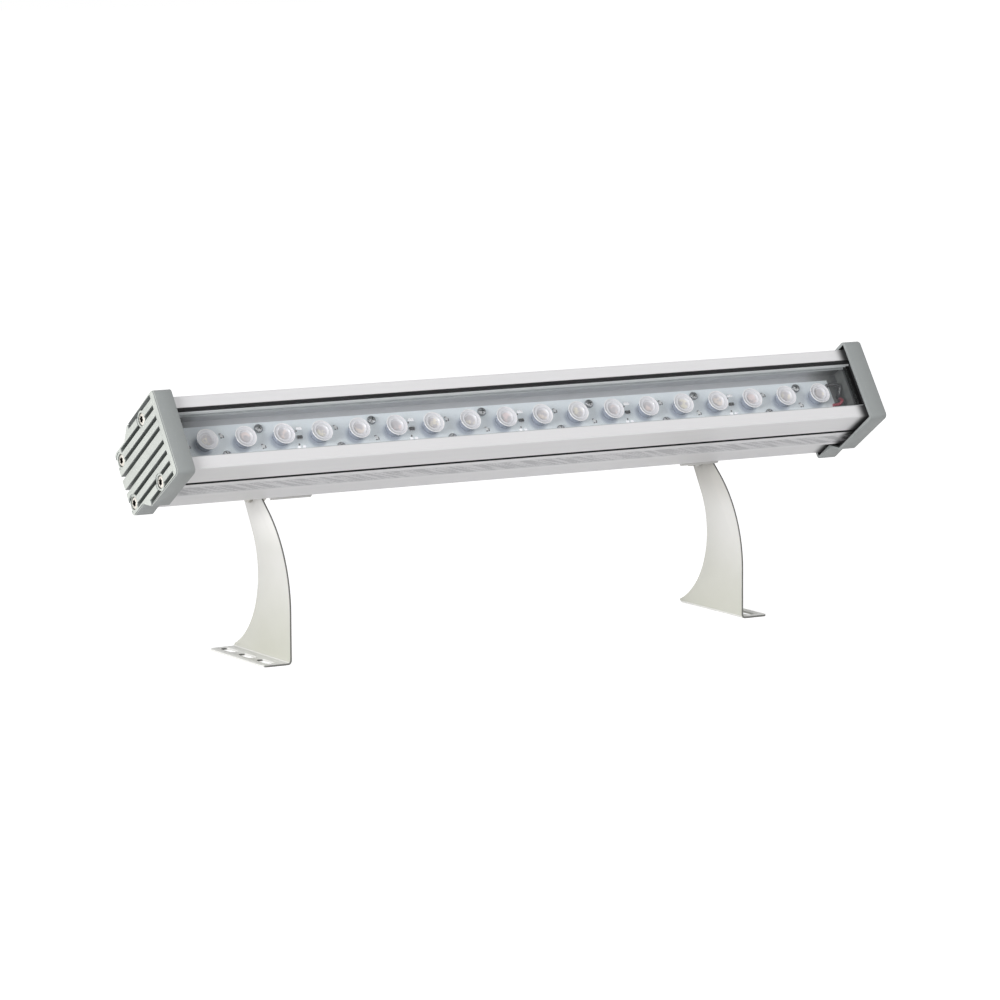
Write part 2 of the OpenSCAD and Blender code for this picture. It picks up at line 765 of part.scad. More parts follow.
module gland_nut() {
    top = -flange_seal_t - flange_h - nut_gap;
    dome_r = gland_flats / 2 - edge_chamfer;
    color("dimgray") lamp_place() difference() {
        union() {
            hex_down(top, nut_hex_h, gland_flats);
            translate([gland_x, 0, top]) rotate([180, 0, 0]) rotate_extrude()
                polygon(concat([[0, 0], [dome_r, 0]],
                    arc([dome_r - dome_round, dome_h - dome_round], dome_round, 0, 90, 6), [[0, dome_h]]));
        }
        translate([gland_x, 0, top - nut_overlap]) cylinder(h = nut_overlap + 1, r = gland_r + screw_clear);
        translate([gland_x, 0, top - dome_h - 1]) cylinder(h = dome_h + 2, r = gland_bore_r);
    }
}

// Bracket under the rear face: a base across the block and an ear folded down at its outer end
module hinge_bracket(side) {
    fold_r = bracket_fold_r + bracket_t;
    fold_x = ear_out_x - fold_r;
    color("whitesmoke") lamp_place() at_arm(side) {
        difference() {
            translate([base_x, -block_hw, base_low_z]) cube([bracket_len, block_w, bracket_t]);
            translate([fold_x, pivot_y - ear_r - ear_relief, base_low_z - 1])
                cube([fold_r + 1, 2 * (ear_r + ear_relief), bracket_t + 2]);
            for (i = [-0.5, 0.5])
                translate([clamp_mid_x + i * clamp_pitch, 0, base_low_z - 1])
                    cylinder(h = bracket_t + 2, r = clamp_r + screw_clear);
        }
        translate([fold_x, pivot_y + ear_r, base_z - fold_r]) rotate([90, 0, 0])
            linear_extrude(2 * ear_r) intersection() {
                difference() {
                    circle(fold_r);
                    circle(bracket_fold_r);
                }
                square(fold_r);
            }
        along_x(ear_in_x, ear_out_x) difference() {
            union() {
                translate([pivot_y - ear_r, pivot_z]) square([2 * ear_r, base_z - fold_r - pivot_z]);
                translate([pivot_y, pivot_z]) circle(ear_r);
            }
            translate([pivot_y, pivot_z]) circle(pivot_hole_r);
        }
    }
}

module slot_nut(side) {
    nut_w = slot_w - 2 * loose;
    neck_w = slot_mouth - 2 * loose;
    color("silver") lamp_place() at_arm(side) difference() {
        translate([clamp_mid_x - slot_nut_len / 2, 0, 0]) {
            translate([0, -nut_w / 2, slot_lip + slide_gap]) cube([slot_nut_len, nut_w, slot_nut_h]);
            translate([0, -neck_w / 2, base_z]) cube([slot_nut_len, neck_w, slot_lip + slot_nut_h]);
        }
        for (i = [-0.5, 0.5])
            translate([clamp_mid_x + i * clamp_pitch, 0, base_z - 1])
                cylinder(h = slot_lip + slot_nut_h + 4, r = clamp_r);
    }
}

module clamp_screws(side) {
    shank = bracket_t + slot_lip + slot_nut_h;
    color("lightgray") lamp_place() at_arm(side)
        for (i = [-0.5, 0.5])
            translate([clamp_mid_x + i * clamp_pitch, 0, base_low_z]) difference() {
                union() {
                    cylinder(h = shank, r = clamp_r - thread_gap);
                    translate([0, 0, -clamp_head_h]) intersection() {
                        cylinder(h = clamp_head_h, r = clamp_head_r);
                        translate([0, 0, clamp_crown_r - clamp_crown_cut]) sphere(clamp_crown_r);
                    }
                }
                translate([0, 0, -clamp_head_h - 1])
                    cylinder(h = clamp_socket_depth + 1, r = clamp_socket_r, $fn = 6);
            }
}

module friction_washer(side) {
    color("white") lamp_place() at_arm(side) difference() {
        bar_x(ear_out_x, ear_out_x + friction_t, pivot_y, pivot_z, ear_r - loose);
        bar_x(ear_out_x - 1, ear_out_x + friction_t + 1, pivot_y, pivot_z, pivot_hole_r);
    }
}

module pivot_bolt(side) {
    head_x = arm_out_x + slide_gap;
    end_x = ear_in_x - washer_t - pivot_nut_h - bolt_end;
    shank = head_x - end_x;
    top = shank + pivot_head_h;
    color("lightgray") lamp_place() at_arm(side)
        translate([end_x, pivot_y, pivot_z]) rotate([0, 90, 0]) difference() {
            rotate_extrude() polygon(concat(
                [[0, 0], [pivot_r, 0], [pivot_r, shank], [pivot_head_r, shank]],
                arc([pivot_head_r - pivot_head_round, top - pivot_head_round], pivot_head_round, 0, 90, 5),
                [[0, top]]
            ));
            translate([0, 0, top - pivot_socket_depth])
                cylinder(h = pivot_socket_depth + 1, r = pivot_socket_r, $fn = 6);
        }
}

module pivot_washer(side) {
    color("lightgray") lamp_place() at_arm(side) difference() {
        bar_x(ear_in_x - washer_t, ear_in_x, pivot_y, pivot_z, washer_r);
        bar_x(ear_in_x - washer_t - 1, ear_in_x + 1, pivot_y, pivot_z, pivot_hole_r);
    }
}

module pivot_nut(side) {
    x0 = ear_in_x - washer_t - pivot_nut_h;
    color("lightgray") lamp_place() at_arm(side) difference() {
        translate([x0, pivot_y, pivot_z]) rotate([0, 90, 0])
            cylinder(h = pivot_nut_h, r = pivot_nut_flats / 2 / cos(30), $fn = 6);
        bar_x(x0 - 1, x0 + pivot_nut_h + 1, pivot_y, pivot_z, pivot_r + thread_gap);
    }
}

// Side of an arm: straight and curved front edge, round top, hollowed back edge and toe
module arm_outline() {
    polygon(concat(
        [[-arm_front, fold_out_r]],
        arc(front_c, front_r, 180, front_a, 16),
        arc(end_c, arm_end_r, front_a, back_a - 180, 16),
        arc(back_c, back_r, back_a, toe_a, 20),
        arc(toe_c, toe_r, toe_a + 2, toe_end_a, 10)
    ));
}

// Foot seen from above, x from the arm's inner face outwards
module foot_plan() {
    x1 = foot_w;
    y0 = -arm_front;
    y1 = foot_len - arm_front;
    mid_x = (fold_out_r + foot_w) / 2;
    difference() {
        polygon(concat(
            [[fold_out_r, y1], [fold_out_r, y0]],
            arc([x1 - foot_front_r, y0 + foot_front_r], foot_front_r, -90, 0, 6),
            arc([x1 - foot_back_r, y1 - foot_back_r], foot_back_r, 0, 90, 8)
        ));
        for (i = [0 : foot_slot_count - 1])
            translate([mid_x, (y0 + y1) / 2 + (i - (foot_slot_count - 1) / 2) * foot_slot_pitch]) {
                reach = (foot_slot_len - foot_slot_w) / 2;
                square([foot_slot_w, 2 * reach], center = true);
                for (end = [-1, 1]) translate([0, end * reach]) circle(foot_slot_w / 2);
            }
    }
}

module arm(side) {
    color("whitesmoke") at_arm(side) translate([0, axis_y, 0]) {
        along_x(arm_in_x, arm_out_x) difference() {
            arm_outline();
            translate(end_c) circle(pivot_hole_r);
        }
        translate([arm_in_x, 0, 0]) linear_extrude(arm_t) foot_plan();
        translate([arm_in_x + fold_out_r, foot_len - arm_front, fold_out_r]) rotate([90, 0, 0])
            linear_extrude(foot_len) intersection() {
                difference() {
                    circle(fold_out_r);
                    circle(foot_fold_r);
                }
                translate([-fold_out_r, -fold_out_r]) square(fold_out_r);
            }
    }
}

housing_profile();
front_glass();
glass_seal(1);  // upper_glass_seal
glass_seal(-1);  // lower_glass_seal
channel_dam(-1);  // left_channel_dam
channel_dam(1);  // right_channel_dam
led_board();
led_emitters();
lens_cups();
board_screws();
board_components();
red_wire();
black_wire();
end_seal(-1);  // left_end_seal
end_seal(1);  // right_end_seal
end_cap(-1);  // left_end_cap
end_cap(1);  // right_end_cap
cap_screws(-1);  // left_cap_screws
cap_screws(1);  // right_cap_screws
gland_body();
gland_seal();
gland_insert();
gland_nut();
hinge_bracket(-1);  // left_hinge_bracket
hinge_bracket(1);  // right_hinge_bracket
slot_nut(-1);  // left_slot_nut
slot_nut(1);  // right_slot_nut
clamp_screws(-1);  // left_clamp_screws
clamp_screws(1);  // right_clamp_screws
friction_washer(-1);  // left_friction_washer
friction_washer(1);  // right_friction_washer
pivot_bolt(-1);  // left_pivot_bolt
pivot_bolt(1);  // right_pivot_bolt
pivot_washer(-1);  // left_pivot_washer
pivot_washer(1);  // right_pivot_washer
pivot_nut(-1);  // left_pivot_nut
pivot_nut(1);  // right_pivot_nut
arm(-1);  // left_arm
arm(1);  // right_arm
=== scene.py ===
"""Looks of a linear wall washer light: finishes, fine pieces, studio and camera round the part.

Sizes are in millimetres in the lamp's own frame, as in the part's source: x along the lamp, y
across it and z from the housing's rear face towards the light. LampFrame turns them into the
part's frame in metres. The finishes hold their sizes in metres.
"""

import logging
import math
from dataclasses import dataclass
from enum import Enum
from functools import cached_property
from typing import Iterable, Sequence

import bmesh
import bpy
from bpy.types import ID, Material, Mesh, Node, NodeSocket, NodeTree, Object
from mathutils import Matrix, Vector


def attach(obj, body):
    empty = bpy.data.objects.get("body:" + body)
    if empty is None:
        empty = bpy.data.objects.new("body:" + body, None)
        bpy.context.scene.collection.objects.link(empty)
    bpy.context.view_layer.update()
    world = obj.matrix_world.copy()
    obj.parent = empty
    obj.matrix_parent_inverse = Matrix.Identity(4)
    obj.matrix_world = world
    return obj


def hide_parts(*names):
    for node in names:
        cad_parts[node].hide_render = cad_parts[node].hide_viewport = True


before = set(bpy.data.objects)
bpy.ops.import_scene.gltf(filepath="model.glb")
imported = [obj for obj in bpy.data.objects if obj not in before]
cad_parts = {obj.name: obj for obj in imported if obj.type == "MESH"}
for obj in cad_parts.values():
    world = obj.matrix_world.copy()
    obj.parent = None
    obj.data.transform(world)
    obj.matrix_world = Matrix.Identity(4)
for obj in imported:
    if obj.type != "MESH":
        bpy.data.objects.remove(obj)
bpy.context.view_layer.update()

MM = 0.001
LOG = logging.getLogger("wall_washer")

Colour = tuple[float, float, float]
Point = tuple[float, float, float]
Brick = tuple[Point, Point, float]


class Body(str, Enum):
    """The moving bodies of the part."""

    LAMP = "lamp"
    LEFT_CARRIAGE = "left_carriage"
    RIGHT_CARRIAGE = "right_carriage"
    LEFT_FOOT_ARM = "left_foot_arm"
    RIGHT_FOOT_ARM = "right_foot_arm"


class Side(int, Enum):
    """The two ends of the lamp, with the sign of their x."""

    LEFT = -1
    RIGHT = 1

    @property
    def word(self) -> str:
        """The word that starts this side's node names."""
        return self.name.lower()


@dataclass(frozen=True)
class LampFrame:
    """Place and tilt of the lamp's own frame in the part's frame, in millimetres and degrees."""

    lean: float = 54.9
    pivot_y: float = -4.0
    pivot_z: float = -20.0
    pivot_h: float = 97.25
    axis_y: float = 29.7817

    def matrix(self) -> Matrix:
        """Turns lamp millimetres into metres of the part's frame."""
        return (
            Matrix.Translation((0, self.axis_y * MM, self.pivot_h * MM))
            @ Matrix.Rotation(math.radians(self.lean), 4, "X")
            @ Matrix.Translation((0, -self.pivot_y * MM, -self.pivot_z * MM))
            @ Matrix.Scale(MM, 4)
        )

    def origin(self) -> Vector:
        """The lamp frame's origin, in metres of the part's frame."""
        return self.matrix().translation


LAMP = LampFrame()


# Shader building


class Signal:
    """A node's output that takes part in sums, differences, products and powers."""

    def __init__(self, graph: "Graph", socket: NodeSocket) -> None:
        """Keeps the socket and the graph that it belongs to."""
        self.graph, self.socket = graph, socket

    def maths(self, operation: str, *values: "Signal | float") -> "Signal":
        """The result of a Math node on these inputs."""
        return self.graph.signal("ShaderNodeMath", dict(enumerate(values)), operation=operation)

    def __add__(self, other: "Signal | float") -> "Signal":
        """self + other."""
        return self.maths("ADD", self, other)

    def __radd__(self, other: float) -> "Signal":
        """other + self."""
        return self.maths("ADD", other, self)

    def __sub__(self, other: "Signal | float") -> "Signal":
        """self - other."""
        return self.maths("SUBTRACT", self, other)

    def __rsub__(self, other: float) -> "Signal":
        """other - self."""
        return self.maths("SUBTRACT", other, self)

    def __mul__(self, other: "Signal | float") -> "Signal":
        """self * other."""
        return self.maths("MULTIPLY", self, other)

    def __rmul__(self, other: float) -> "Signal":
        """other * self."""
        return self.maths("MULTIPLY", other, self)

    def __pow__(self, other: float) -> "Signal":
        """self ** other."""
        return self.maths("POWER", self, other)

    def __abs__(self) -> "Signal":
        """The size of self."""
        return self.maths("ABSOLUTE", self)

    def larger(self, other: "Signal | float") -> "Signal":
        """The larger of self and other."""
        return self.maths("MAXIMUM", self, other)

    def held(self) -> "Signal":
        """Self, kept between 0 and 1."""
        return self.maths("MINIMUM", self.larger(0.0), 1.0)

    def over(self, limit: "Signal | float") -> "Signal":
        """1 where self is above limit, else 0."""
        return self.maths("GREATER_THAN", self, limit)

    def step(self, low: float, high: float) -> "Signal":
        """Smooth step from 0 at low to 1 at high."""
        values = {"Value": self, "From Min": low, "From Max": high}
        return self.graph.signal("ShaderNodeMapRange", values, interpolation_type="SMOOTHSTEP")


class Graph:
    """Adds nodes to a node tree and links them."""

    def __init__(self, tree: NodeTree) -> None:
        """Takes a tree and empties it."""
        self.tree = tree
        tree.nodes.clear()

    def node(self, kind: str, values: dict | None = None, **settings: object) -> Node:
        """Adds a node.

        Args:
            kind: the node's type.
            values: values or signals of its input sockets, by name or number.
            settings: its properties, set first.

        Returns:
            The node.
        """
        node = self.tree.nodes.new(kind)
        for key, value in settings.items():
            setattr(node, key, value)
        for key, value in (values or {}).items():
            if isinstance(value, Signal):
                self.tree.links.new(value.socket, node.inputs[key])
            else:
                node.inputs[key].default_value = value
        return node

    def signal(
        self, kind: str, values: dict | None = None, output: str | int = 0, **settings: object
    ) -> Signal:
        """Adds a node and gives one of its outputs."""
        return Signal(self, self.node(kind, values, **settings).outputs[output])


class Shade(Graph):
    """Builds one material's nodes."""

    def __init__(self, name: str) -> None:
        """Starts an empty material.

        Args:
            name: the material's name.
        """
        self.material = bpy.data.materials.new(name)
        self.material.use_nodes = True
        super().__init__(self.material.node_tree)

    def object_place(self) -> Signal:
        """Object coordinates: metres of the part's frame."""
        return self.signal("ShaderNodeTexCoord", output="Object")

    def mapped(self, vector: Signal, **values: Sequence[float]) -> Signal:
        """A vector seen from a frame that Location, Rotation and Scale describe."""
        return self.signal("ShaderNodeMapping", {"Vector": vector, **values}, vector_type="TEXTURE")

    def lamp_place(self) -> Signal:
        """Metres of the lamp's own frame."""
        lean = (math.radians(LAMP.lean), 0, 0)
        return self.mapped(self.object_place(), Location=LAMP.origin(), Rotation=lean)

    def normal(self) -> Signal:
        """The surface's direction."""
        return self.signal("ShaderNodeNewGeometry", output="Normal")

    def split(self, vector: Signal) -> tuple[Signal, Signal, Signal]:
        """The three parts of a vector."""
        node = self.node("ShaderNodeSeparateXYZ", {0: vector})
        return tuple(Signal(self, out) for out in node.outputs)

    def noise(
        self, vector: Signal, scale: float | Point, detail: float = 2.0, rough: float = 0.5
    ) -> Signal:
        """A noise from 0 to 1.

        Args:
            vector: where it is read.
            scale: cells to a metre, in all directions or along each axis.
            detail: number of finer layers.
            rough: weight of the finer layers.

        Returns:
            The noise.
        """
        if isinstance(scale, tuple):
            ends = {0: vector, 1: scale}
            vector = self.signal("ShaderNodeVectorMath", ends, operation="MULTIPLY")
            scale = 1.0
        values = {"Vector": vector, "Scale": scale, "Detail": detail, "Roughness": rough}
        return self.signal("ShaderNodeTexNoise", values)

    def blend(self, share: Signal, first: Colour | Signal, second: Colour | Signal) -> Signal:
        """Mixes two colours.

        Args:
            share: share of the second colour, from 0 to 1.
            first: the first colour.
            second: the second colour.

        Returns:
            The mixed colour.
        """
        ends = (c if isinstance(c, Signal) else (*c, 1.0) for c in (first, second))
        values = {"Factor": share, **dict(zip((6, 7), ends))}
        return self.signal("ShaderNodeMix", values, 2, data_type="RGBA")

    def layered(self, base: Colour | Signal, *layers: tuple[Signal, Colour | Signal]) -> Signal:
        """Lays colours over a base in order.

        Args:
            base: the colour underneath.
            layers: the share from 0 to 1 and the colour of each layer.

        Returns:
            The colour on top.
        """
        for share, colour in layers:
            base = self.blend(share, base, colour)
        return base

    def attribute(self, name: str) -> Signal:
        """The value of a mesh attribute."""
        return self.signal("ShaderNodeAttribute", output="Fac", attribute_name=name)

    def bump(self, height: Signal, depth: float, strength: float) -> Signal:
        """A normal bumped by a relief from 0 to 1 that is so many metres deep."""
        values = {"Height": height, "Distance": depth, "Strength": strength}
        return self.signal("ShaderNodeBump", values)

    def surface(self, **values: Signal | float) -> Material:
        """Ends the material in a Principled shader.

        Args:
            values: its sockets, with spaces of their names written as underscores.

        Returns:
            The material.
        """
        named = {key.replace("_", " "): value for key, value in values.items()}
        shader = self.signal("ShaderNodeBsdfPrincipled", named)
        self.node("ShaderNodeOutputMaterial", {0: shader})
        return self.material


@dataclass(frozen=True)
class PowderCoat:
    """Baked powder paint with a fine orange peel, on castings or cut sheet."""

    name: str
    colour: Colour
    # Painted light: a lighter colour for the outer faces that look along x.
    lit_face_colour: Colour
    edge_colour: Colour
    # Painted shade in the cap's grooves.
    groove_shade_colour: Colour = (0.115, 0.13, 0.12)
    # Painted shade inside the collar, in the gap round the housing's end.
    inside_shade_colour: Colour = (0.012, 0.013, 0.013)
    speck_colour: Colour = (0.9, 0.9, 0.88)
    roughness: float = 0.42
    peel_depth: float = 0.00005
    peel_scale: float = 1400.0
    face_x: float = 0.2492
    collar_x: float = 0.2375
    seat_x: float = 0.24276
    groove_x: float = 0.24376
    groove_margin: float = 0.0006
    inner_y: float = 0.02605
    inner_block_y: float = 0.0193
    inner_top: float = 0.06305
    inner_low: float = -0.0013
    slope: tuple[float, float] = (0.0133, 0.0219)

    def lit_face_share(self, shade: Shade) -> Signal:
        """Share of painted light: the outer ends, where they look along x, are painted lighter."""
        facing = abs(shade.split(shade.normal())[0]).step(0.6, 0.95)
        return facing * abs(shade.split(shade.object_place())[0]).over(self.face_x)

    def pocket(self, shade: Shade, outer_x: float, deep_x: float, margin: float) -> Signal:
        """1 between two places along x and within the collar's inner outline.

        Args:
            shade: the material that is being built.
            outer_x: the outer place, in metres from the lamp's middle.
            deep_x: the inner place.
            margin: metres added to the outline all round.

        Returns:
            The mask.
        """
        along, across, height = shade.split(shade.lamp_place())
        deep = (outer_x - abs(along)).over(0.0) * abs(along).over(deep_x)
        low, high = self.slope
        rise = ((height - low) * (1.0 / (high - low))).held()
        half = rise * (self.inner_y - self.inner_block_y) + (self.inner_block_y + margin)
        within = (half - abs(across)).over(0.0) * height.over(self.inner_low - margin)
        return deep * within * (self.inner_top + margin - height).over(0.0)

    def make(self) -> Material:
        """Builds the material.

        Returns:
            The material.
        """
        shade = Shade(self.name)
        place = shade.object_place()
        mottle = shade.noise(place, 38.0, 4.0, 0.6)
        peel = shade.noise(place, self.peel_scale, 2.0)
        # Painted shade on the collar's inner walls.
        inside = self.pocket(shade, self.seat_x, self.collar_x, 0.0)
        # Painted shade on the groove floors and walls sunk into the end.
        groove_shade = self.pocket(shade, self.face_x, self.groove_x, self.groove_margin)
        tone = shade.layered(
            self.colour,
            (groove_shade, self.groove_shade_colour),
            # Painted light on the outer faces.
            (self.lit_face_share(shade), self.lit_face_colour),
            (mottle.step(0.35, 0.75) * 0.22, self.edge_colour),
            (peel.step(0.62, 0.8) * 0.12, self.speck_colour),
            (inside, self.inside_shade_colour),
        )
        return shade.surface(
            Base_Color=tone,
            Roughness=self.roughness + (mottle - 0.5) * 0.16,
            Normal=shade.bump(peel, self.peel_depth, 0.7),
            Specular_IOR_Level=0.45,
        )


@dataclass(frozen=True)
class SheetPaint:
    """White powder paint on cut sheet, darker along the cut edges."""

    name: str
    # Painted lighting on the arm's upper part: its share and colour.
    top_lighting_share: float
    top_lighting_colour: Colour
    colour: Colour = (0.615, 0.61, 0.59)
    cut_colour: Colour = (0.10, 0.10, 0.095)
    fold_h: float = 0.0032
    # Painted light on the foot's flat top.
    foot_colour: Colour = (0.80, 0.80, 0.775)
    roughness: float = 0.5
    speck_colour: Colour = (0.9, 0.9, 0.88)
    foot_top: tuple[float, float] = (0.0013, 0.0019)
    foot_shade_top: float = 0.06
    # Heights over which the painted lighting of the upper part fades in.
    under_lamp: tuple[float, float] = (0.066, 0.088)

    def make(self) -> Material:
        """Builds the material.

        Returns:
            The material.
        """
        shade = Shade(self.name)
        place = shade.object_place()
        across, ahead, _ = shade.split(shade.normal())
        height = shade.split(place)[2]
        upright = height.step(self.fold_h, self.fold_h * 1.5)
        edge_up = (1.0 - abs(across)).step(0.55, 0.9) * upright
        edge_low = abs(ahead).step(0.6, 0.9) * (1.0 - upright)
        cloud = shade.noise(place, 16.0, 3.0, 0.55)
        peel = shade.noise(place, 1600.0, 2.0)
        grain = shade.noise(place, 420.0, 3.0, 0.7)
        risen = height.step(*self.foot_top)
        low_shade = (1.0 - height.step(0.0, self.foot_shade_top)) * risen * 0.8
        # Painted light on the left arm's upper part, and a painted shadow of the housing on the
        # right arm's.
        under_lamp = height.step(*self.under_lamp) * self.top_lighting_share
        red, green, blue = self.colour
        painted = shade.layered(
            self.colour,
            (cloud.step(0.3, 0.8) * 0.3 + low_shade, (red * 0.79, green * 0.80, blue * 0.73)),
            (under_lamp, self.top_lighting_colour),
            (grain.step(0.6, 0.85) * 0.1, self.speck_colour),
            # Painted light: the foot's flat top is painted lighter.
            ((1.0 - risen) * 0.8, self.foot_colour),
            ((edge_up + edge_low).step(0.0, 1.0) * 0.9, self.cut_colour),
        )
        return shade.surface(
            Base_Color=painted,
            Roughness=self.roughness + (grain - 0.5) * 0.15,
            Normal=shade.bump(peel, 0.00004, 0.6),
            Specular_IOR_Level=0.4,
        )


@dataclass(frozen=True)
class ExtrudedAluminium:
    """Anodised aluminium: die lines along x; painted shade in the ports, soft beside the right cap.
    """

    name: str
    colour: Colour
    shadow_colour: Colour
    roughness: float = 0.46
    metallic: float = 0.25
    inner_half: float = 0.0163
    inner_floor: float = 0.0425
    inner_top: float = 0.0566
    port_y: float = 0.021
    port_z: float = 0.0405
    port_r: float = 0.00235
    slit: tuple[float, float, float] = (0.0014, -0.001, 0.0028)
    rib_low: float = 0.0253
    rib_top: float = 0.0351
    rib_blur: float = 0.0004
    streak_turn: float = -0.43
    streak_size: Point = (0.03, 1.0, 0.0014)
    # Painted shade of the fine ribs.
    rib_shade_colour: Colour = (0.43, 0.43, 0.445)
    # Painted shade for the ports and beside the right cap.
    dark: Colour = (0.045, 0.046, 0.048)
    # Painted shade inside the channel towards each end.
    end_x: tuple[float, float] = (0.213, 0.234)
    end_colour: Colour = (0.15, 0.155, 0.15)
    cap_shade_x: tuple[float, float] = (0.2295, 0.2375)

    def port_shade_share(self, shade: Shade) -> Signal:
        """Painted shade: 1 in the front screw ports' bores and the slits that open them sideways.

        Args:
            shade: the material that is being built.

        Returns:
            The mask.
        """
        _, across, height = shade.split(shade.lamp_place())
        rise = height - self.port_z
        out = abs(across) - self.port_y
        bore = (self.port_r - ((out * out) + (rise * rise)) ** 0.5).over(0.0)
        half, start, end = self.slit
        slit = (half - abs(rise)).over(0.0) * out.over(start) * (end - out).over(0.0)
        return bore.larger(slit)

    def make(self) -> Material:
        """Builds the material.

        Returns:
            The material.
        """
        shade = Shade(self.name)
        place = shade.lamp_place()
        along, across, height = shade.split(place)
        lines = shade.noise(place, (1.2, 900.0, 900.0), 3.0, 0.6)
        streaks = shade.noise(place, (4.0, 160.0, 160.0), 2.0)
        cloud = shade.noise(place, 9.0, 3.0, 0.55)
        grain = shade.noise(place, 2600.0, 1.0)
        inside = (
            (self.inner_half + 0.0004 - abs(across)).over(0.0)
            * height.over(self.inner_floor - 0.001)
            * (self.inner_top + 0.0008 - height).over(0.0)
        )
        depth = 1.0 - height.step(self.inner_floor, self.inner_top)
        # Painted shade that deepens towards each end of the channel.
        end = abs(along).step(*self.end_x) * inside
        beside = along.step(*self.cap_shade_x) ** 1.6
        # Painted shade of the fine ribs along the flanks, in diagonal streaks of painted sheen.
        above, below = self.rib_top + self.rib_blur, self.rib_low - self.rib_blur
        rib_shade = height.step(below, self.rib_low) * (1.0 - height.step(self.rib_top, above))
        slant = (0, -self.streak_turn, 0)
        slanted = shade.mapped(place, Rotation=slant, Scale=self.streak_size)
        sheen = shade.noise(slanted, 1.0, 2.0, 0.55)
        drawn = lines.step(0.3, 0.7) * (0.16 - inside * 0.12) + cloud.step(0.35, 0.7) * 0.1
        red, green, blue = self.colour
        tone = shade.layered(
            self.colour,
            (drawn, (red * 0.86, green * 0.87, blue * 0.9)),
            (inside * (0.25 + depth * 0.34), self.shadow_colour),
            (end * 0.9, self.end_colour),
            (beside * 0.96, self.dark),
            (rib_shade * (0.16 + sheen.step(0.42, 0.58) * 0.56), self.rib_shade_colour),
            (self.port_shade_share(shade), self.dark),
        )
        return shade.surface(
            Base_Color=tone,
            Metallic=self.metallic,
            Roughness=self.roughness + (streaks - 0.5) * 0.14,
            Normal=shade.bump(lines + grain * 0.25, 0.00003, 0.55),
        )


@dataclass(frozen=True)
class ClearGlass:
    """Toughened glass: painted highlight on the upper edge, faint dust, black ends over the dams.
    """

    name: str
    half_width: float = 0.01625
    highlight_width: float = 0.0030
    body_alpha: float = 0.035
    highlight_alpha: float = 0.85
    # Black ends: the sealant over the dams, painted fully black as the shade of the end gaps too.
    end_x: float = 0.2386
    end_colour: Colour = (0.012, 0.012, 0.012)
    colour: Colour = (0.72, 0.76, 0.78)
    # Colour of the painted highlight along the upper edge.
    edge_colour: Colour = (0.60, 0.63, 0.64)

    def make(self) -> Material:
        """Builds the material.

        Returns:
            The material.
        """
        shade = Shade(self.name)
        place = shade.lamp_place()
        along, across, _ = shade.split(place)
        # Black at each end: the sealant over the dams, also painted shade of the end gaps.
        end = abs(along).over(self.end_x)
        # Painted highlight: a light, nearly opaque band along the upper edge.
        edge = self.half_width - self.highlight_width
        rim = across.step(edge, self.half_width - self.highlight_width * 0.85)
        dust = shade.noise(place, 900.0, 4.0, 0.7).step(0.6, 0.78)
        smear = shade.noise(place, (6.0, 40.0, 40.0), 3.0)
        film = self.body_alpha + dust * 0.03 + smear * 0.02
        clear = film + rim * (self.highlight_alpha - self.body_alpha)
        tone = shade.blend(rim, self.colour, self.edge_colour)
        return shade.surface(
            Base_Color=shade.blend(end, tone, self.end_colour),
            Alpha=end.larger(clear),
            Roughness=0.03 + dust * 0.15,
            IOR=1.5,
            Specular_IOR_Level=0.5,
        )


@dataclass(frozen=True)
class ClearLens:
    """Milky moulded plastic, from the cup's side ("body" 0) over the bowl to the rim (1)."""

    name: str
    # Painted shade on the cup's side, over its blue-grey translucent tone.
    shaded_side_colour: Colour = (0.38, 0.42, 0.51)
    bowl_colour: Colour = (0.80, 0.80, 0.84)
    heart_colour: Colour = (0.60, 0.575, 0.60)
    # Painted highlight on the rim, where the plastic is also most opaque.
    rim_highlight_colour: Colour = (0.97, 0.97, 0.99)
    pink: Colour = (0.88, 0.74, 0.74)
    straw: Colour = (0.90, 0.86, 0.72)
    low: float = 0.8
    high: float = 0.97

    def make(self) -> Material:
        """Builds the material.

        Returns:
            The material.
        """
        shade = Shade(self.name)
        body = shade.attribute("body")
        place = shade.lamp_place()
        ripple = shade.noise(place, 520.0, 3.0, 0.6)
        blotch = shade.noise(place, 210.0, 2.0, 0.6).step(0.46, 0.6)
        heart = body.step(0.5, 0.58) * (1.0 - body.step(0.62, 0.7))
        tint = shade.blend(shade.attribute("tint"), self.pink, self.straw)
        core = shade.blend(blotch * 0.75, self.heart_colour, tint)
        tone = shade.layered(
            # Painted shade on the cup's side.
            self.shaded_side_colour,
            (body.step(0.3, 0.45), self.bowl_colour),
            (heart, core),
            # Painted highlight on the rim.
            (body.step(0.75, 0.92), self.rim_highlight_colour),
        )
        return shade.surface(
            Base_Color=tone,
            Alpha=self.low + body * (self.high - self.low) + (ripple - 0.5) * 0.1,
            Roughness=0.12 + ripple * 0.16,
            IOR=1.49,
            Coat_Weight=0.4,
        )


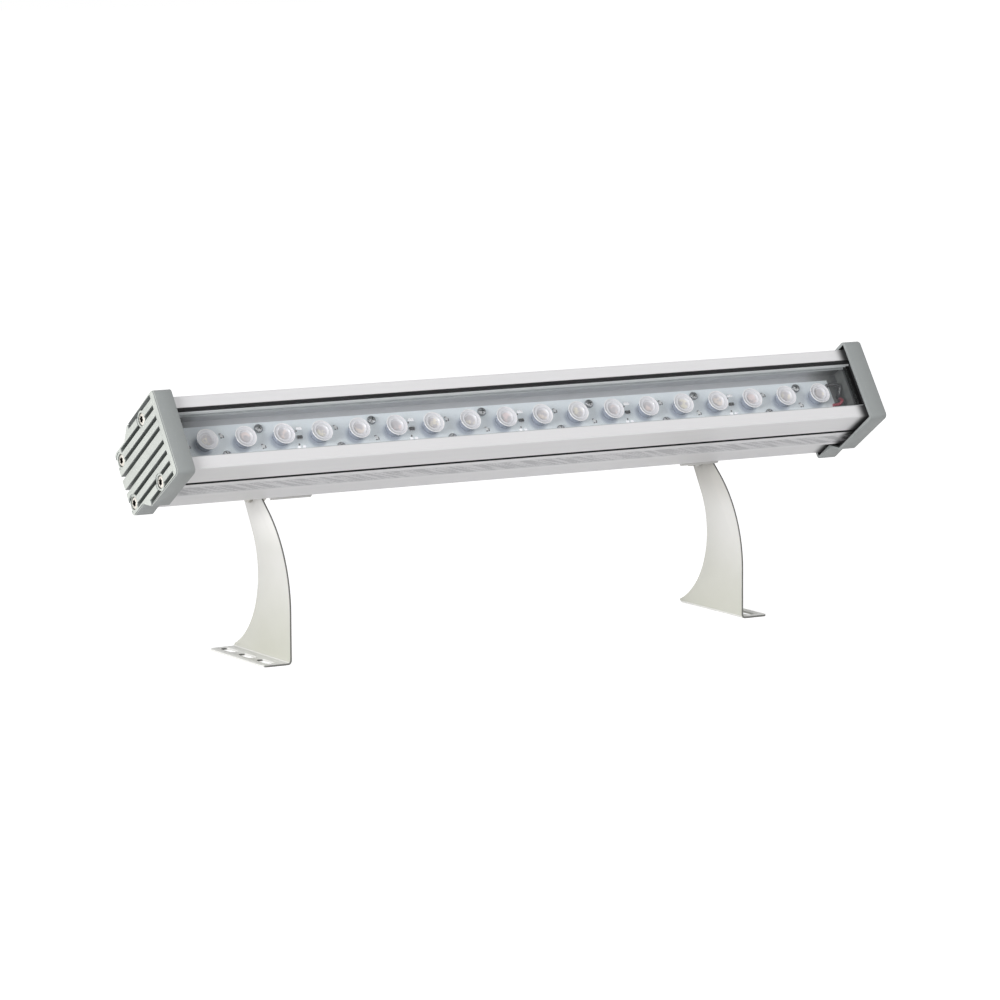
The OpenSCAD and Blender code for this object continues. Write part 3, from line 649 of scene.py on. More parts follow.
@dataclass(frozen=True)
class Rubber:
    """Matt rubber with bloom along its run and the light that the glass puts on its bead."""

    name: str
    bloom_colour: Colour
    colour: Colour = (0.010, 0.010, 0.011)
    roughness: float = 0.6
    bloom: float = 0.35
    glint_y: float = 0.0
    glint_colour: Colour = (0.62, 0.64, 0.65)
    # A painted highlight line along the strip: its height, half width and colour.
    highlight_line_z: float = 0.0584
    highlight_line_half: float = 0.00035
    highlight_line_colour: Colour = (0.05, 0.05, 0.052)

    def make(self) -> Material:
        """Builds the material.

        Returns:
            The material.
        """
        shade = Shade(self.name)
        place = shade.lamp_place()
        run = shade.noise(place, (10.0, 700.0, 700.0), 3.0, 0.6)
        pores = shade.noise(place, 2200.0, 2.0)
        _, across, height = shade.split(place)
        glint = (self.glint_y - abs(across)).over(0.0)
        # Painted highlight: a thin lighter line along the strip.
        highlight_line = (self.highlight_line_half - abs(height - self.highlight_line_z)).over(0.0)
        bloom = (run.step(0.35, 0.75) * self.bloom, self.bloom_colour)
        shine = (highlight_line, self.highlight_line_colour), (glint, self.glint_colour)
        return shade.surface(
            Base_Color=shade.layered(self.colour, bloom, *shine),
            Specular_IOR_Level=0.22,
            Roughness=self.roughness + (pores - 0.5) * 0.2,
            Normal=shade.bump(pores + run * 0.4, 0.00004, 0.6),
        )


@dataclass(frozen=True)
class DamSilicone:
    """Grey silicone dam with a black sealant layer on top."""

    name: str
    colour: Colour = (0.075, 0.08, 0.078)
    light_colour: Colour = (0.12, 0.125, 0.12)
    sealant: Colour = (0.014, 0.015, 0.015)
    sealant_z: float = 0.0512

    def make(self) -> Material:
        """Builds the material.

        Returns:
            The material.
        """
        shade = Shade(self.name)
        place = shade.lamp_place()
        height = shade.split(place)[2]
        wave = shade.noise(place, (1.0, 260.0, 1.0), 2.0)
        pores = shade.noise(place, 2000.0, 2.0)
        line = (height + (wave - 0.5) * 0.0007).step(self.sealant_z - 0.0002, self.sealant_z)
        body = shade.blend(wave.step(0.3, 0.7) * 0.5, self.colour, self.light_colour)
        return shade.surface(
            Base_Color=shade.blend(line, body, self.sealant),
            Roughness=0.42 + (pores - 0.5) * 0.2,
            Normal=shade.bump(pores, 0.00005, 0.6),
        )


@dataclass(frozen=True)
class SolderMask:
    """White board lacquer over faint copper areas, with the soft shade of each lens cup."""

    name: str
    colour: Colour = (0.905, 0.97, 1.0)
    copper_colour: Colour = (0.86, 0.92, 0.98)
    pitch: float = 0.0255
    shift: float = 0.0009
    shade_r: float = 0.0068
    shade_at: tuple[float, float] = (0.0013, 0.0018)
    shade_colour: Colour = (0.44, 0.49, 0.58)
    cloud_colour: Colour = (0.8, 0.85, 0.92)

    def make(self) -> Material:
        """Builds the material.

        Returns:
            The material.
        """
        shade = Shade(self.name)
        place = shade.lamp_place()
        along, across, _ = shade.split(place)
        cell = (along - self.shift) * (1.0 / self.pitch)
        centred = cell.maths("FRACT", cell) - 0.5
        aside, up = centred * self.pitch + self.shade_at[0], across + self.shade_at[1]
        away = (aside ** 2.0 + up * up) ** 0.5
        shadow = 1.0 - away.step(self.shade_r * 0.62, self.shade_r * 1.1)
        split = (abs(centred) - 0.43).step(-0.004, 0.004)
        track = (abs(abs(across) - 0.0042) - 0.0009).step(-0.0001, 0.0001)
        copper = (1.0 - split * 0.75) * (0.55 + 0.45 * track)
        fleck = shade.noise(place, 700.0, 4.0, 0.6)
        cloud = shade.noise(place, 30.0, 2.0)
        tone = shade.layered(
            self.colour,
            (copper * 0.25, self.copper_colour),
            (shadow * 0.85, self.shade_colour),
            (cloud.step(0.3, 0.8) * 0.12, self.cloud_colour),
        )
        return shade.surface(
            Base_Color=tone,
            Roughness=0.32 + fleck * 0.12,
            Coat_Weight=0.3,
            Normal=shade.bump(copper + fleck * 0.15, 0.00004, 0.7),
        )


@dataclass(frozen=True)
class BareMetal:
    """Turned or rolled metal with fine marks, with painted shade where "body" marks a recess."""

    name: str
    colour: Colour
    tarnish: Colour
    roughness: float = 0.3
    metallic: float = 0.85
    recess_shade_colour: Colour = (0.012, 0.010, 0.008)

    def make(self) -> Material:
        """Builds the material.

        Returns:
            The material.
        """
        shade = Shade(self.name)
        place = shade.object_place()
        marks = shade.noise(place, 1500.0, 3.0, 0.7)
        stain = shade.noise(place, 260.0, 3.0, 0.6)
        worn = shade.blend(stain.step(0.4, 0.75) * 0.45, self.colour, self.tarnish)
        # Painted shade in the recesses.
        recess = shade.attribute("body").step(0.25, 0.8)
        return shade.surface(
            Base_Color=shade.blend(recess, worn, self.recess_shade_colour),
            Metallic=self.metallic,
            Roughness=self.roughness + (marks - 0.4) * 0.3,
            Normal=shade.bump(marks, 0.00003, 0.5),
        )


@dataclass(frozen=True)
class MouldedPlastic:
    """Moulded plastic or resin with a fine spark-eroded grain."""

    name: str
    colour: Colour
    light_colour: Colour
    roughness: float = 0.45
    coat: float = 0.0

    def make(self) -> Material:
        """Builds the material.

        Returns:
            The material.
        """
        shade = Shade(self.name)
        place = shade.object_place()
        grain = shade.noise(place, 2400.0, 2.0)
        cloud = shade.noise(place, 180.0, 3.0)
        tone = shade.blend(cloud.step(0.3, 0.8) * 0.35, self.colour, self.light_colour)
        return shade.surface(
            Base_Color=tone,
            Roughness=self.roughness + (grain - 0.5) * 0.2,
            Coat_Weight=self.coat,
            Normal=shade.bump(grain, 0.00003, 0.6),
        )


@dataclass(frozen=True)
class TintedGel:
    """Phosphor gel whose warm tint follows the mesh attribute "tint"."""

    name: str
    cool: Colour
    warm: Colour
    speck: Colour = (0.9, 0.88, 0.84)

    def make(self) -> Material:
        """Builds the material.

        Returns:
            The material.
        """
        shade = Shade(self.name)
        speck = shade.noise(shade.lamp_place(), 3000.0, 3.0, 0.7)
        mixed = shade.blend(shade.attribute("tint"), self.cool, self.warm)
        return shade.surface(
            Base_Color=shade.blend(speck.step(0.4, 0.8) * 0.2, mixed, self.speck),
            Roughness=0.25 + speck * 0.2,
            Coat_Weight=0.6,
        )


class Finish(Enum):
    """The lamp's finishes, each with one material."""

    HOUSING = ExtrudedAluminium("extruded_aluminium", (0.743, 0.737, 0.745), (0.46, 0.48, 0.51))
    CAP = PowderCoat(
        "cap_grey_green", (0.30, 0.318, 0.317), (0.535, 0.56, 0.525), (0.26, 0.275, 0.27)
    )
    # The two arm paints differ only in the painted light and shadow on their upper parts.
    LEFT_SHEET = SheetPaint("left_arm_white", 0.9, (0.80, 0.79, 0.77))
    RIGHT_SHEET = SheetPaint("right_arm_white", 0.6, (0.42, 0.405, 0.375))
    BRACKET = PowderCoat(
        "bracket_white", (0.63, 0.625, 0.61), (0.62, 0.62, 0.6), (0.56, 0.56, 0.54)
    )
    GLASS = ClearGlass("front_glass")
    RUBBER = Rubber("seal_rubber", (0.03, 0.03, 0.031))
    GLASS_RUBBER = Rubber("glass_seal_rubber", (0.05, 0.05, 0.052), glint_y=0.01495)
    SILICONE = DamSilicone("grey_silicone")
    MASK = SolderMask("board_lacquer")
    LENS = ClearLens("lens_plastic")
    GEL = TintedGel("phosphor_gel", (0.80, 0.66, 0.66), (0.84, 0.76, 0.52))
    CERAMIC = MouldedPlastic("led_ceramic", (0.82, 0.82, 0.80), (0.9, 0.9, 0.88), 0.35)
    STEEL = BareMetal("bright_steel", (0.80, 0.765, 0.70), (0.6, 0.55, 0.46), 0.32, 0.55)
    BOARD_STEEL = BareMetal(
        "board_screw_steel", (0.40, 0.41, 0.42), (0.13, 0.13, 0.14), 0.22, 0.9, (0.03, 0.03, 0.03)
    )
    ZINC = BareMetal("zinc_steel", (0.46, 0.45, 0.42), (0.28, 0.26, 0.22), 0.36)
    # Near-black plastic for plates that stand in for the shade deep in the cap screws' recesses.
    SOCKET = MouldedPlastic("socket_shadow", (0.015, 0.013, 0.011), (0.03, 0.026, 0.02), 0.7)
    RESIN = MouldedPlastic("chip_resin", (0.035, 0.036, 0.04), (0.07, 0.07, 0.075), 0.5)
    SOLDER = BareMetal("solder", (0.78, 0.79, 0.80), (0.55, 0.56, 0.58), 0.28, 0.6)
    TIN = BareMetal("tinned_copper", (0.92, 0.925, 0.95), (0.80, 0.82, 0.86), 0.22, 1.0)
    INK = MouldedPlastic("white_ink", (0.88, 0.89, 0.9), (0.93, 0.94, 0.95), 0.4)
    RED = MouldedPlastic("red_insulation", (0.27, 0.022, 0.045), (0.36, 0.05, 0.075), 0.4, 0.15)
    BLACK = MouldedPlastic("black_insulation", (0.02, 0.02, 0.022), (0.04, 0.04, 0.042), 0.35, 0.3)
    NYLON = MouldedPlastic("gland_nylon", (0.028, 0.028, 0.03), (0.05, 0.05, 0.052), 0.42)
    WASHER = MouldedPlastic("washer_nylon", (0.72, 0.72, 0.69), (0.8, 0.8, 0.78), 0.4)

    @cached_property
    def material(self) -> Material:
        """Its material, made at the first use."""
        return self.value.make()


# Mesh building


def new_object(name: str, data: ID) -> Object:
    """Links an object at the origin into the scene.

    Args:
        name: its name.
        data: its mesh, camera or light.

    Returns:
        The object.
    """
    made = bpy.data.objects.new(name, data)
    bpy.context.scene.collection.objects.link(made)
    return made


def smooth_by_angle(mesh: Mesh, degrees: float) -> None:
    """Smooths a mesh and keeps the edges above an angle sharp."""
    mesh.shade_smooth()
    mesh.set_sharp_from_angle(angle=math.radians(degrees))


def dress(obj: Object, finish: Finish) -> None:
    """Gives an object this finish alone."""
    obj.data.materials.clear()
    obj.data.materials.append(finish.material)


def dress_nodes(prefix: str = "", /, **finishes: Finish) -> None:
    """Gives carried-over CAD nodes their finishes.

    Args:
        prefix: what each node's name starts with.
        finishes: the finish of each node, by the rest of its name.
    """
    for name, finish in finishes.items():
        dress(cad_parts[prefix + name], finish)
        LOG.info("dressed %s with %s", prefix + name, finish.value.name)


def bake(piece: Object) -> Mesh:
    """Turns an object's modifiers into a plain mesh and removes them.

    Args:
        piece: the object.

    Returns:
        Its new mesh.
    """
    graph = bpy.context.evaluated_depsgraph_get()
    made = bpy.data.meshes.new_from_object(piece.evaluated_get(graph))
    piece.modifiers.clear()
    piece.data = made
    return made


@dataclass(frozen=True)
class Piece:
    """A new piece: its name, finish and record slot, the CAD nodes it stands for, and its body."""

    name: str
    finish: Finish
    slot: str
    nodes: tuple[str, ...] = ()
    body: Body = Body.LAMP

    def present(self, made: Object) -> None:
        """Dresses the finished object and says where it belongs.

        Args:
            made: the object, with its place in its mesh.
        """
        dress(made, self.finish)
        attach(made, self.body.value)
        if self.nodes:
            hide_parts(*self.nodes)
        LOG.info("placed %s with %s", self.name, self.finish.value.name)


@dataclass(frozen=True)
class EdgeSoftener:
    """Shows CAD nodes as copies with rounded edges; angles in degrees."""

    merge: float = 2e-6
    flat: float = 1.0
    sharp: float = 40.0
    smooth: float = 32.0
    segments: int = 2

    def merged(self, node: str) -> Mesh:
        """Copies a node's mesh with its loose triangles joined into whole faces.

        Args:
            node: the node's name.

        Returns:
            The copy.
        """
        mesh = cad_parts[node].data.copy()
        work = bmesh.new()
        work.from_mesh(mesh)
        bmesh.ops.remove_doubles(work, verts=work.verts, dist=self.merge)
        bmesh.ops.dissolve_limit(
            work, angle_limit=math.radians(self.flat), use_dissolve_boundaries=False,
            verts=work.verts, edges=work.edges,
        )
        work.to_mesh(mesh)
        work.free()
        return mesh

    def show(self, piece: Piece, width: float) -> None:
        """Makes one copy and shows it in the node's place.

        Args:
            piece: the new piece, which stands for one node.
            width: millimetres that a rounded edge takes on each side.
        """
        made = new_object(piece.name, self.merged(piece.nodes[0]))
        bevel = made.modifiers.new("rounded_edges", "BEVEL")
        bevel.width = width * MM
        bevel.segments = self.segments
        bevel.limit_method = "ANGLE"
        bevel.angle_limit = math.radians(self.sharp)
        bevel.use_clamp_overlap = True
        bevel.miter_outer = "MITER_ARC"
        smooth_by_angle(bake(made), self.smooth)
        piece.present(made)


@dataclass(frozen=True)
class Recess:
    """Outline of a driver recess: a star of six arms or a cross of four."""

    reach: float
    inner: float
    arms: int

    def radius(self, turn: float) -> float:
        """Reach of the outline at an angle in radians."""
        wave = 0.5 + 0.5 * math.cos(self.arms * turn)
        return self.inner + (self.reach - self.inner) * (wave if self.arms > 4 else wave**3)


@dataclass(frozen=True)
class Lathe:
    """Turned models in millimetres, with the axis along z."""

    steps: int
    smooth: float = 40.0

    def mesh(
        self, name: str, profile: Sequence[Point], lobes: dict[int, Recess] | None = None
    ) -> Mesh:
        """Turns a profile round z.

        Args:
            name: the mesh's name.
            profile: radius, height and "body" value of each ring, from the bottom outside inwards.
            lobes: recess shapes that take the place of some rings' circles, by ring number.

        Returns:
            The mesh.
        """
        n = self.steps
        turns = [2 * math.pi * k / n for k in range(n)]
        verts: list[Point] = []
        for i, (radius, height, _) in enumerate(profile):
            shape = (lobes or {}).get(i)
            for turn in turns:
                reach = shape.radius(turn) if shape else radius
                verts.append((reach * math.cos(turn), reach * math.sin(turn), height))
        last = len(verts) - n
        faces = [
            (low + k, low + (k + 1) % n, low + n + (k + 1) % n, low + n + k)
            for low in range(0, last, n) for k in range(n)
        ]
        faces += [tuple(range(n))[::-1], tuple(range(last, last + n))]
        mesh = bpy.data.meshes.new(name)
        mesh.from_pydata(verts, [], faces)
        marks = [mark for _, _, mark in profile for _ in turns]
        mesh.attributes.new("body", "FLOAT", "POINT").data.foreach_set("value", marks)
        smooth_by_angle(mesh, self.smooth)
        return mesh


@dataclass(frozen=True)
class Blocks:
    """Models of small bevelled blocks in millimetres."""

    segments: int = 2
    smooth: float = 35.0

    def mesh(self, name: str, bricks: Iterable[Brick]) -> Mesh:
        """Joins blocks into one mesh.

        Args:
            name: the mesh's name.
            bricks: sides, middle of the underside and bevel of each block.

        Returns:
            The mesh.
        """
        work = bmesh.new()
        for size, at, bevel in bricks:
            place = Matrix.Translation((at[0], at[1], at[2] + size[2] / 2))
            place @= Matrix.Diagonal((*size, 1.0))
            made = bmesh.ops.create_cube(work, size=1.0, matrix=place)
            if bevel:
                edges = list({edge for vert in made["verts"] for edge in vert.link_edges})
                bmesh.ops.bevel(
                    work, geom=edges, offset=bevel, segments=self.segments, affect="EDGES",
                    profile=0.5,
                )
        mesh = bpy.data.meshes.new(name)
        work.to_mesh(mesh)
        work.free()
        smooth_by_angle(mesh, self.smooth)
        return mesh


@dataclass(frozen=True)
class Place:
    """Where one repeated model stands, in lamp millimetres, with its aim, turn and tint."""

    at: Point
    aim: Point = (0.0, 0.0, 1.0)
    turn: float = 0.0
    tint: float = 0.0


class PieceTree(Graph):
    """A Geometry Nodes tree that turns a mesh of points into a piece of the lamp's body."""

    title = ""
    sizes: dict[str, str] = {}

    def __init__(self) -> None:
        """Builds the tree: named inputs, shape, Realize Instances and Set Material."""
        super().__init__(bpy.data.node_groups.new(self.title, "GeometryNodeTree"))
        inputs = {"Geometry": "Geometry", **self.sizes, "Finish": "Material"}
        face = self.tree.interface
        for name, kind in inputs.items():
            face.new_socket(name, in_out="INPUT", socket_type=f"NodeSocket{kind}")
        face.new_socket("Geometry", in_out="OUTPUT", socket_type="NodeSocketGeometry")
        entry = self.node("NodeGroupInput")
        given = {name: Signal(self, entry.outputs[name]) for name in inputs}
        real = self.signal("GeometryNodeRealizeInstances", {"Geometry": self.shape(given)})
        dressed = {"Geometry": real, "Material": given["Finish"]}
        self.node("NodeGroupOutput", {"Geometry": self.signal("GeometryNodeSetMaterial", dressed)})

    def shape(self, given: dict[str, Signal]) -> Signal:
        """The piece's geometry, made from the named inputs."""
        raise NotImplementedError

    def run(self, piece: Piece, points: Mesh, sizes: dict[str, object]) -> None:
        """Makes one piece as a plain mesh and presents it.

        Args:
            piece: the new piece.
            points: the mesh that it starts from, in lamp millimetres.
            sizes: the tree's other inputs, by name.
        """
        made = new_object(piece.name, points)
        modifier = made.modifiers.new(self.title, "NODES")
        modifier.node_group = self.tree
        values = {**sizes, "Finish": piece.finish.material}
        for item in self.tree.interface.items_tree:
            if item.in_out == "INPUT" and item.name in values:
                modifier[item.identifier] = values[item.name]
        bake(made).transform(LAMP.matrix())
        piece.present(made)


class Repeater(PieceTree):
    """Puts a model at each point of a mesh, turned and tinted by the points' attributes."""

    title = "repeat_piece"
    sizes = {"Piece": "Object", "Size": "Float"}
    marks = {"aim": "FLOAT_VECTOR", "turn": "FLOAT", "tint": "FLOAT"}

    def shape(self, given: dict[str, Signal]) -> Signal:
        """Builds the repeating part.

        Args:
            given: the named inputs.

        Returns:
            The instances.
        """
        aim, turn, tint = (
            self.signal("GeometryNodeInputNamedAttribute", {"Name": name}, data_type=kind)
            for name, kind in self.marks.items()
        )
        model = self.signal(
            "GeometryNodeObjectInfo", {"Object": given["Piece"]}, "Geometry",
            transform_space="ORIGINAL",
        )
        aimed = self.signal("FunctionNodeAlignRotationToVector", {"Vector": aim}, axis="Z")
        spun = self.signal("FunctionNodeAxisAngleToRotation", {"Axis": (0, 0, 1), "Angle": turn})
        both = {"Rotation": aimed, "Rotate By": spun}
        turned = self.signal("FunctionNodeRotateRotation", both, rotation_space="LOCAL")
        put = {
            "Points": given["Geometry"], "Instance": model, "Rotation": turned,
            "Scale": given["Size"],
        }
        kept = {
            "Geometry": self.signal("GeometryNodeInstanceOnPoints", put), "Name": "tint",
            "Value": tint,
        }
        return self.signal(
            "GeometryNodeStoreNamedAttribute", kept, data_type="FLOAT", domain="INSTANCE"
        )

    def repeat(self, piece: Piece, model: Mesh, places: Iterable[Place]) -> None:
        """Repeats a model.

        Args:
            piece: the new piece.
            model: the mesh to repeat, in millimetres.
            places: where its copies stand.
        """
        spots = list(places)
        points = bpy.data.meshes.new(f"{piece.name}_places")
        points.from_pydata([spot.at for spot in spots], [], [])
        for key, kind in self.marks.items():
            attribute = points.attributes.new(key, kind, "POINT")
            for mark, spot in zip(attribute.data, spots):
                setattr(mark, "value" if kind == "FLOAT" else "vector", getattr(spot, key))
        shown = new_object(f"{piece.name}_model", model)
        self.run(piece, points, {"Piece": shown, "Size": 1.0})
        bpy.data.objects.remove(shown)


class WireRunner(PieceTree):
    """Gives a line of points a smooth run and a round section."""

    title = "round_wire"
    sizes = {"Radius": "Float"}
    rings = 90
    sides = 14

    def shape(self, given: dict[str, Signal]) -> Signal:
        """Builds the tube.

        Args:
            given: the named inputs.

        Returns:
            The smooth tube.
        """
        line = self.signal("GeometryNodeMeshToCurve", {"Mesh": given["Geometry"]})
        bent = self.signal(
            "GeometryNodeCurveSplineType", {"Curve": line}, spline_type="CATMULL_ROM"
        )
        even = self.signal("GeometryNodeResampleCurve", {"Curve": bent, "Count": self.rings})
        section = {"Resolution": self.sides, "Radius": given["Radius"]}
        ring = self.signal("GeometryNodeCurvePrimitiveCircle", section)
        swept = {"Curve": even, "Profile Curve": ring, "Fill Caps": True}
        tube = self.signal("GeometryNodeCurveToMesh", swept)
        return self.signal("GeometryNodeSetShadeSmooth", {"Geometry": tube})

    def sweep(self, piece: Piece, route: Sequence[Point], radius: float) -> None:
        """Runs a wire along points.

        Args:
            piece: the new piece.
            route: the points, in lamp millimetres.
            radius: the wire's radius in millimetres.
        """
        line = bpy.data.meshes.new(f"{piece.name}_route")
        line.from_pydata(route, [(i, i + 1) for i in range(len(route) - 1)], [])
        self.run(piece, line, {"Radius": radius})


# Sub-assemblies


@dataclass(frozen=True)
class Housing:
    """The extrusion with its glass, seals and dams."""

    def build(self) -> None:
        """Dresses the carried-over nodes."""
        dress_nodes(
            housing_profile=Finish.HOUSING, front_glass=Finish.GLASS,
            upper_glass_seal=Finish.GLASS_RUBBER, lower_glass_seal=Finish.GLASS_RUBBER,
            left_channel_dam=Finish.SILICONE, right_channel_dam=Finish.SILICONE,
            left_end_seal=Finish.RUBBER, right_end_seal=Finish.RUBBER,
        )


@dataclass(frozen=True)
class LedRow:
    """The LED board with its lenses, chips and screws."""

    repeater: Repeater
    blocks: Blocks = Blocks()
    count: int = 18
    pitch: float = 25.5
    shift: float = 0.9
    board_top: float = 43.6
    rim_r: float = 6.9
    foot_r: float = 5.1
    height: float = 6.5
    dome_r: float = 1.4
    dome_h: float = 0.42
    screw_y: tuple[float, float] = (7.3, -8.6)
    screw_r: float = 2.75
    screw_h: float = 1.9

    def spot(self, gap: float, y: float = 0.0, dx: float = 0.0) -> Point:
        """A point on the board: y and dx from the middle of a space between LEDs."""
        return (self.shift + (gap - self.count / 2) * self.pitch + dx, y, self.board_top)

    def lens_mesh(self) -> Mesh:
        """One lens cup with its rim, stepped bowl and dome.

        Returns:
            The mesh.
        """
        rim, foot, h = self.rim_r, self.foot_r, self.height
        outside = [
            (foot - 0.5, 0.0, 0.0), (foot, 0.0, 0.0), (foot + 0.12, 0.5, 0.0),
            (foot + (rim - foot) * 0.45, h * 0.45, 0.05), (rim - 0.5, h - 1.05, 0.15),
        ]
        edge = [
            (rim - 0.1, h - 0.6, 0.5), (rim, h - 0.45, 0.95), (rim, h - 0.1, 1.0),
            (rim - 0.1, h, 1.0), (rim - 0.45, h, 1.0), (rim - 0.6, h - 0.12, 0.6),
        ]
        bowl = [
            (rim - 0.8, h - 0.3, 0.46), (4.75, h - 0.55, 0.46), (4.55, h - 0.4, 0.85),
            (4.3, h - 0.42, 0.85), (4.05, h - 0.75, 0.48), (3.3, h - 1.25, 0.55),
            (2.4, h - 1.5, 0.6), (1.3, h - 1.55, 0.6), (0.4, h - 1.5, 0.6),
        ]
        return Lathe(40).mesh("lens", outside + edge + bowl)

    def nub_mesh(self) -> Mesh:
        """Moulding nubs of a lens rim.

        Returns:
            The mesh.
        """
        nubs = [
            ((1.1, 1.3, 0.7), (-self.rim_r + 0.1, 0, self.height - 0.8), 0.2),
            ((0.8, 0.9, 0.6), (self.rim_r - 0.2, 0.6, self.height - 0.75), 0.2),
        ]
        return self.blocks.mesh("lens_nub", nubs)

    def dome_mesh(self) -> Mesh:
        """An LED's gel dome.

        Returns:
            The mesh.
        """
        turns = (math.radians(degrees) for degrees in (0, 20, 40, 60, 80))
        r, h = self.dome_r, self.dome_h
        dome = [(r * math.cos(turn), 0.6 + h * math.sin(turn), 0.0) for turn in turns]
        return Lathe(24).mesh("led_dome", [(r, 0.5, 0.0), *dome])

    def screw_mesh(self) -> Mesh:
        """A pan head with a cross recess.

        Returns:
            The mesh.
        """
        r, h = self.screw_r, self.screw_h
        head = [
            (r - 0.05, 0.0, 0.0), (r, 0.15, 0.0), (r, 0.95, 0.0), (r * 0.93, h - 0.5, 0.0),
            (r * 0.78, h - 0.22, 0.0), (r * 0.6, h - 0.05, 0.0),
        ]
        socket = [(1.45, h, 0.0), (1.4, h - 0.1, 0.6), (1.0, h - 1.15, 1.0), (0.25, h - 1.25, 1.0)]
        cross, low = Recess(1.9, 0.5, 4), Recess(1.2, 0.35, 4)
        return Lathe(32).mesh("board_screw", head + socket, {6: cross, 7: cross, 8: low})

    def optics(self) -> None:
        """Places the lens cups with their nubs, and the LEDs under them."""
        leds = [
            Place(
                self.spot(i + 0.5), turn=math.radians(6 * math.sin(2.1 * i)),
                tint=0.5 + 0.5 * math.sin(4.4 * i + 1.2),
            )
            for i in range(self.count)
        ]
        body = self.blocks.mesh(
            "led_body",
            [((3.4, 3.4, 0.5), (0, 0, 0), 0.08), ((3.0, 3.0, 0.25), (0, 0, 0.45), 0.06)],
        )
        clear, emitter = "lens_clear", "emitter"
        for piece, model in (
            (Piece("lens_row", Finish.LENS, clear, ("lens_cups",)), self.lens_mesh()),
            (Piece("lens_nubs", Finish.LENS, clear), self.nub_mesh()),
            (Piece("led_bodies", Finish.CERAMIC, emitter, ("led_emitters",)), body),
            (Piece("led_domes", Finish.GEL, emitter), self.dome_mesh()),
        ):
            self.repeater.repeat(piece, model, leds)

    def screws(self) -> None:
        """Places the board screws, in two rows."""
        upper = [(gap, self.screw_y[0]) for gap in range(2, self.count, 3)]
        lower = [(gap, self.screw_y[1]) for gap in range(1, self.count - 1, 3)]
        places = [Place(self.spot(g, y), turn=0.35 + 1.7 * g) for g, y in sorted(upper + lower)]
        heads = Piece("board_screw_heads", Finish.BOARD_STEEL, "screw_steel", ("board_screws",))
        self.repeater.repeat(heads, self.screw_mesh(), places)

    def chips(self) -> None:
        """Places driver chips, diodes and resistors with their solder, and the tinned pads."""
        ends, middle = range(1, self.count - 1, 3), range(3, self.count - 2, 3)
        drivers = [Place(self.spot(gap, -0.3)) for gap in middle]
        small = [Place(self.spot(gap, -4.5)) for gap in range(2, self.count, 3)]
        small += [Place(self.spot(gap, 4.5)) for gap in ends] + [Place(self.spot(0, -0.9, 2))]
        offsets = ((-1.3, 3.9), (-1.8, -5.1))
        rows = [Place(self.spot(gap, y, dx)) for gap in middle for dx, y in offsets]
        chip = [((3.3, 1.8, 0.85), (0, 0, 0.12), 0.12)]
        leads = [
            ((0.42, 0.9, 0.3), (-1.27 + 1.27 * k, side * 1.15, 0.0), 0.08)
            for side in (-1, 1) for k in range(3)
        ]
        marks = [
            ((0.7, 1.7, 0.4), (1.15, -0.5, 0.0), 0.08), ((1.3, 0.6, 0.4), (-0.5, 1.25, 0.0), 0.08),
            ((0.6, 0.5, 0.3), (0.8, 0.95, 0.0), 0.06), ((1.0, 0.5, 0.3), (-0.3, -1.3, 0.0), 0.06),
        ]
        solder = [((0.4, 1.0, 0.55), (side * 0.56, 0, 0.0), 0.1) for side in (-1, 1)]
        pads = [
            ((3.8, 2.0, 0.05), (1.2, 6.1, 0.0), 0.0), ((2.1, 1.8, 0.05), (-2.1, -6.6, 0.0), 0.0),
            ((2.0, 1.8, 0.05), (1.4, -6.6, 0.0), 0.0),
        ]
        resistor = [((0.8, 1.0, 0.5), (0, 0, 0.03), 0.06)]
        diode = [((1.9, 2.2, 0.5), (0, 0, 0.05), 0.1)]
        dark, metal = "component_dark", "screw_steel"
        for piece, bricks, places in (
            (Piece("driver_chips", Finish.RESIN, dark, ("board_components",)), chip, drivers),
            (Piece("driver_leads", Finish.SOLDER, metal), leads, drivers),
            (Piece("diode_bodies", Finish.INK, "board_white"), diode, small),
            (Piece("diode_marks", Finish.RESIN, dark), marks, small),
            (Piece("resistor_bodies", Finish.RESIN, dark), resistor, rows),
            (Piece("resistor_solder", Finish.SOLDER, metal), solder, rows),
            (Piece("tin_pads", Finish.TIN, metal), pads, drivers),
        ):
            self.repeater.repeat(piece, self.blocks.mesh(piece.name, bricks), places)

    def build(self) -> None:
        """Builds and dresses the row."""
        self.optics()
        self.screws()
        self.chips()
        dress_nodes(led_board=Finish.MASK)


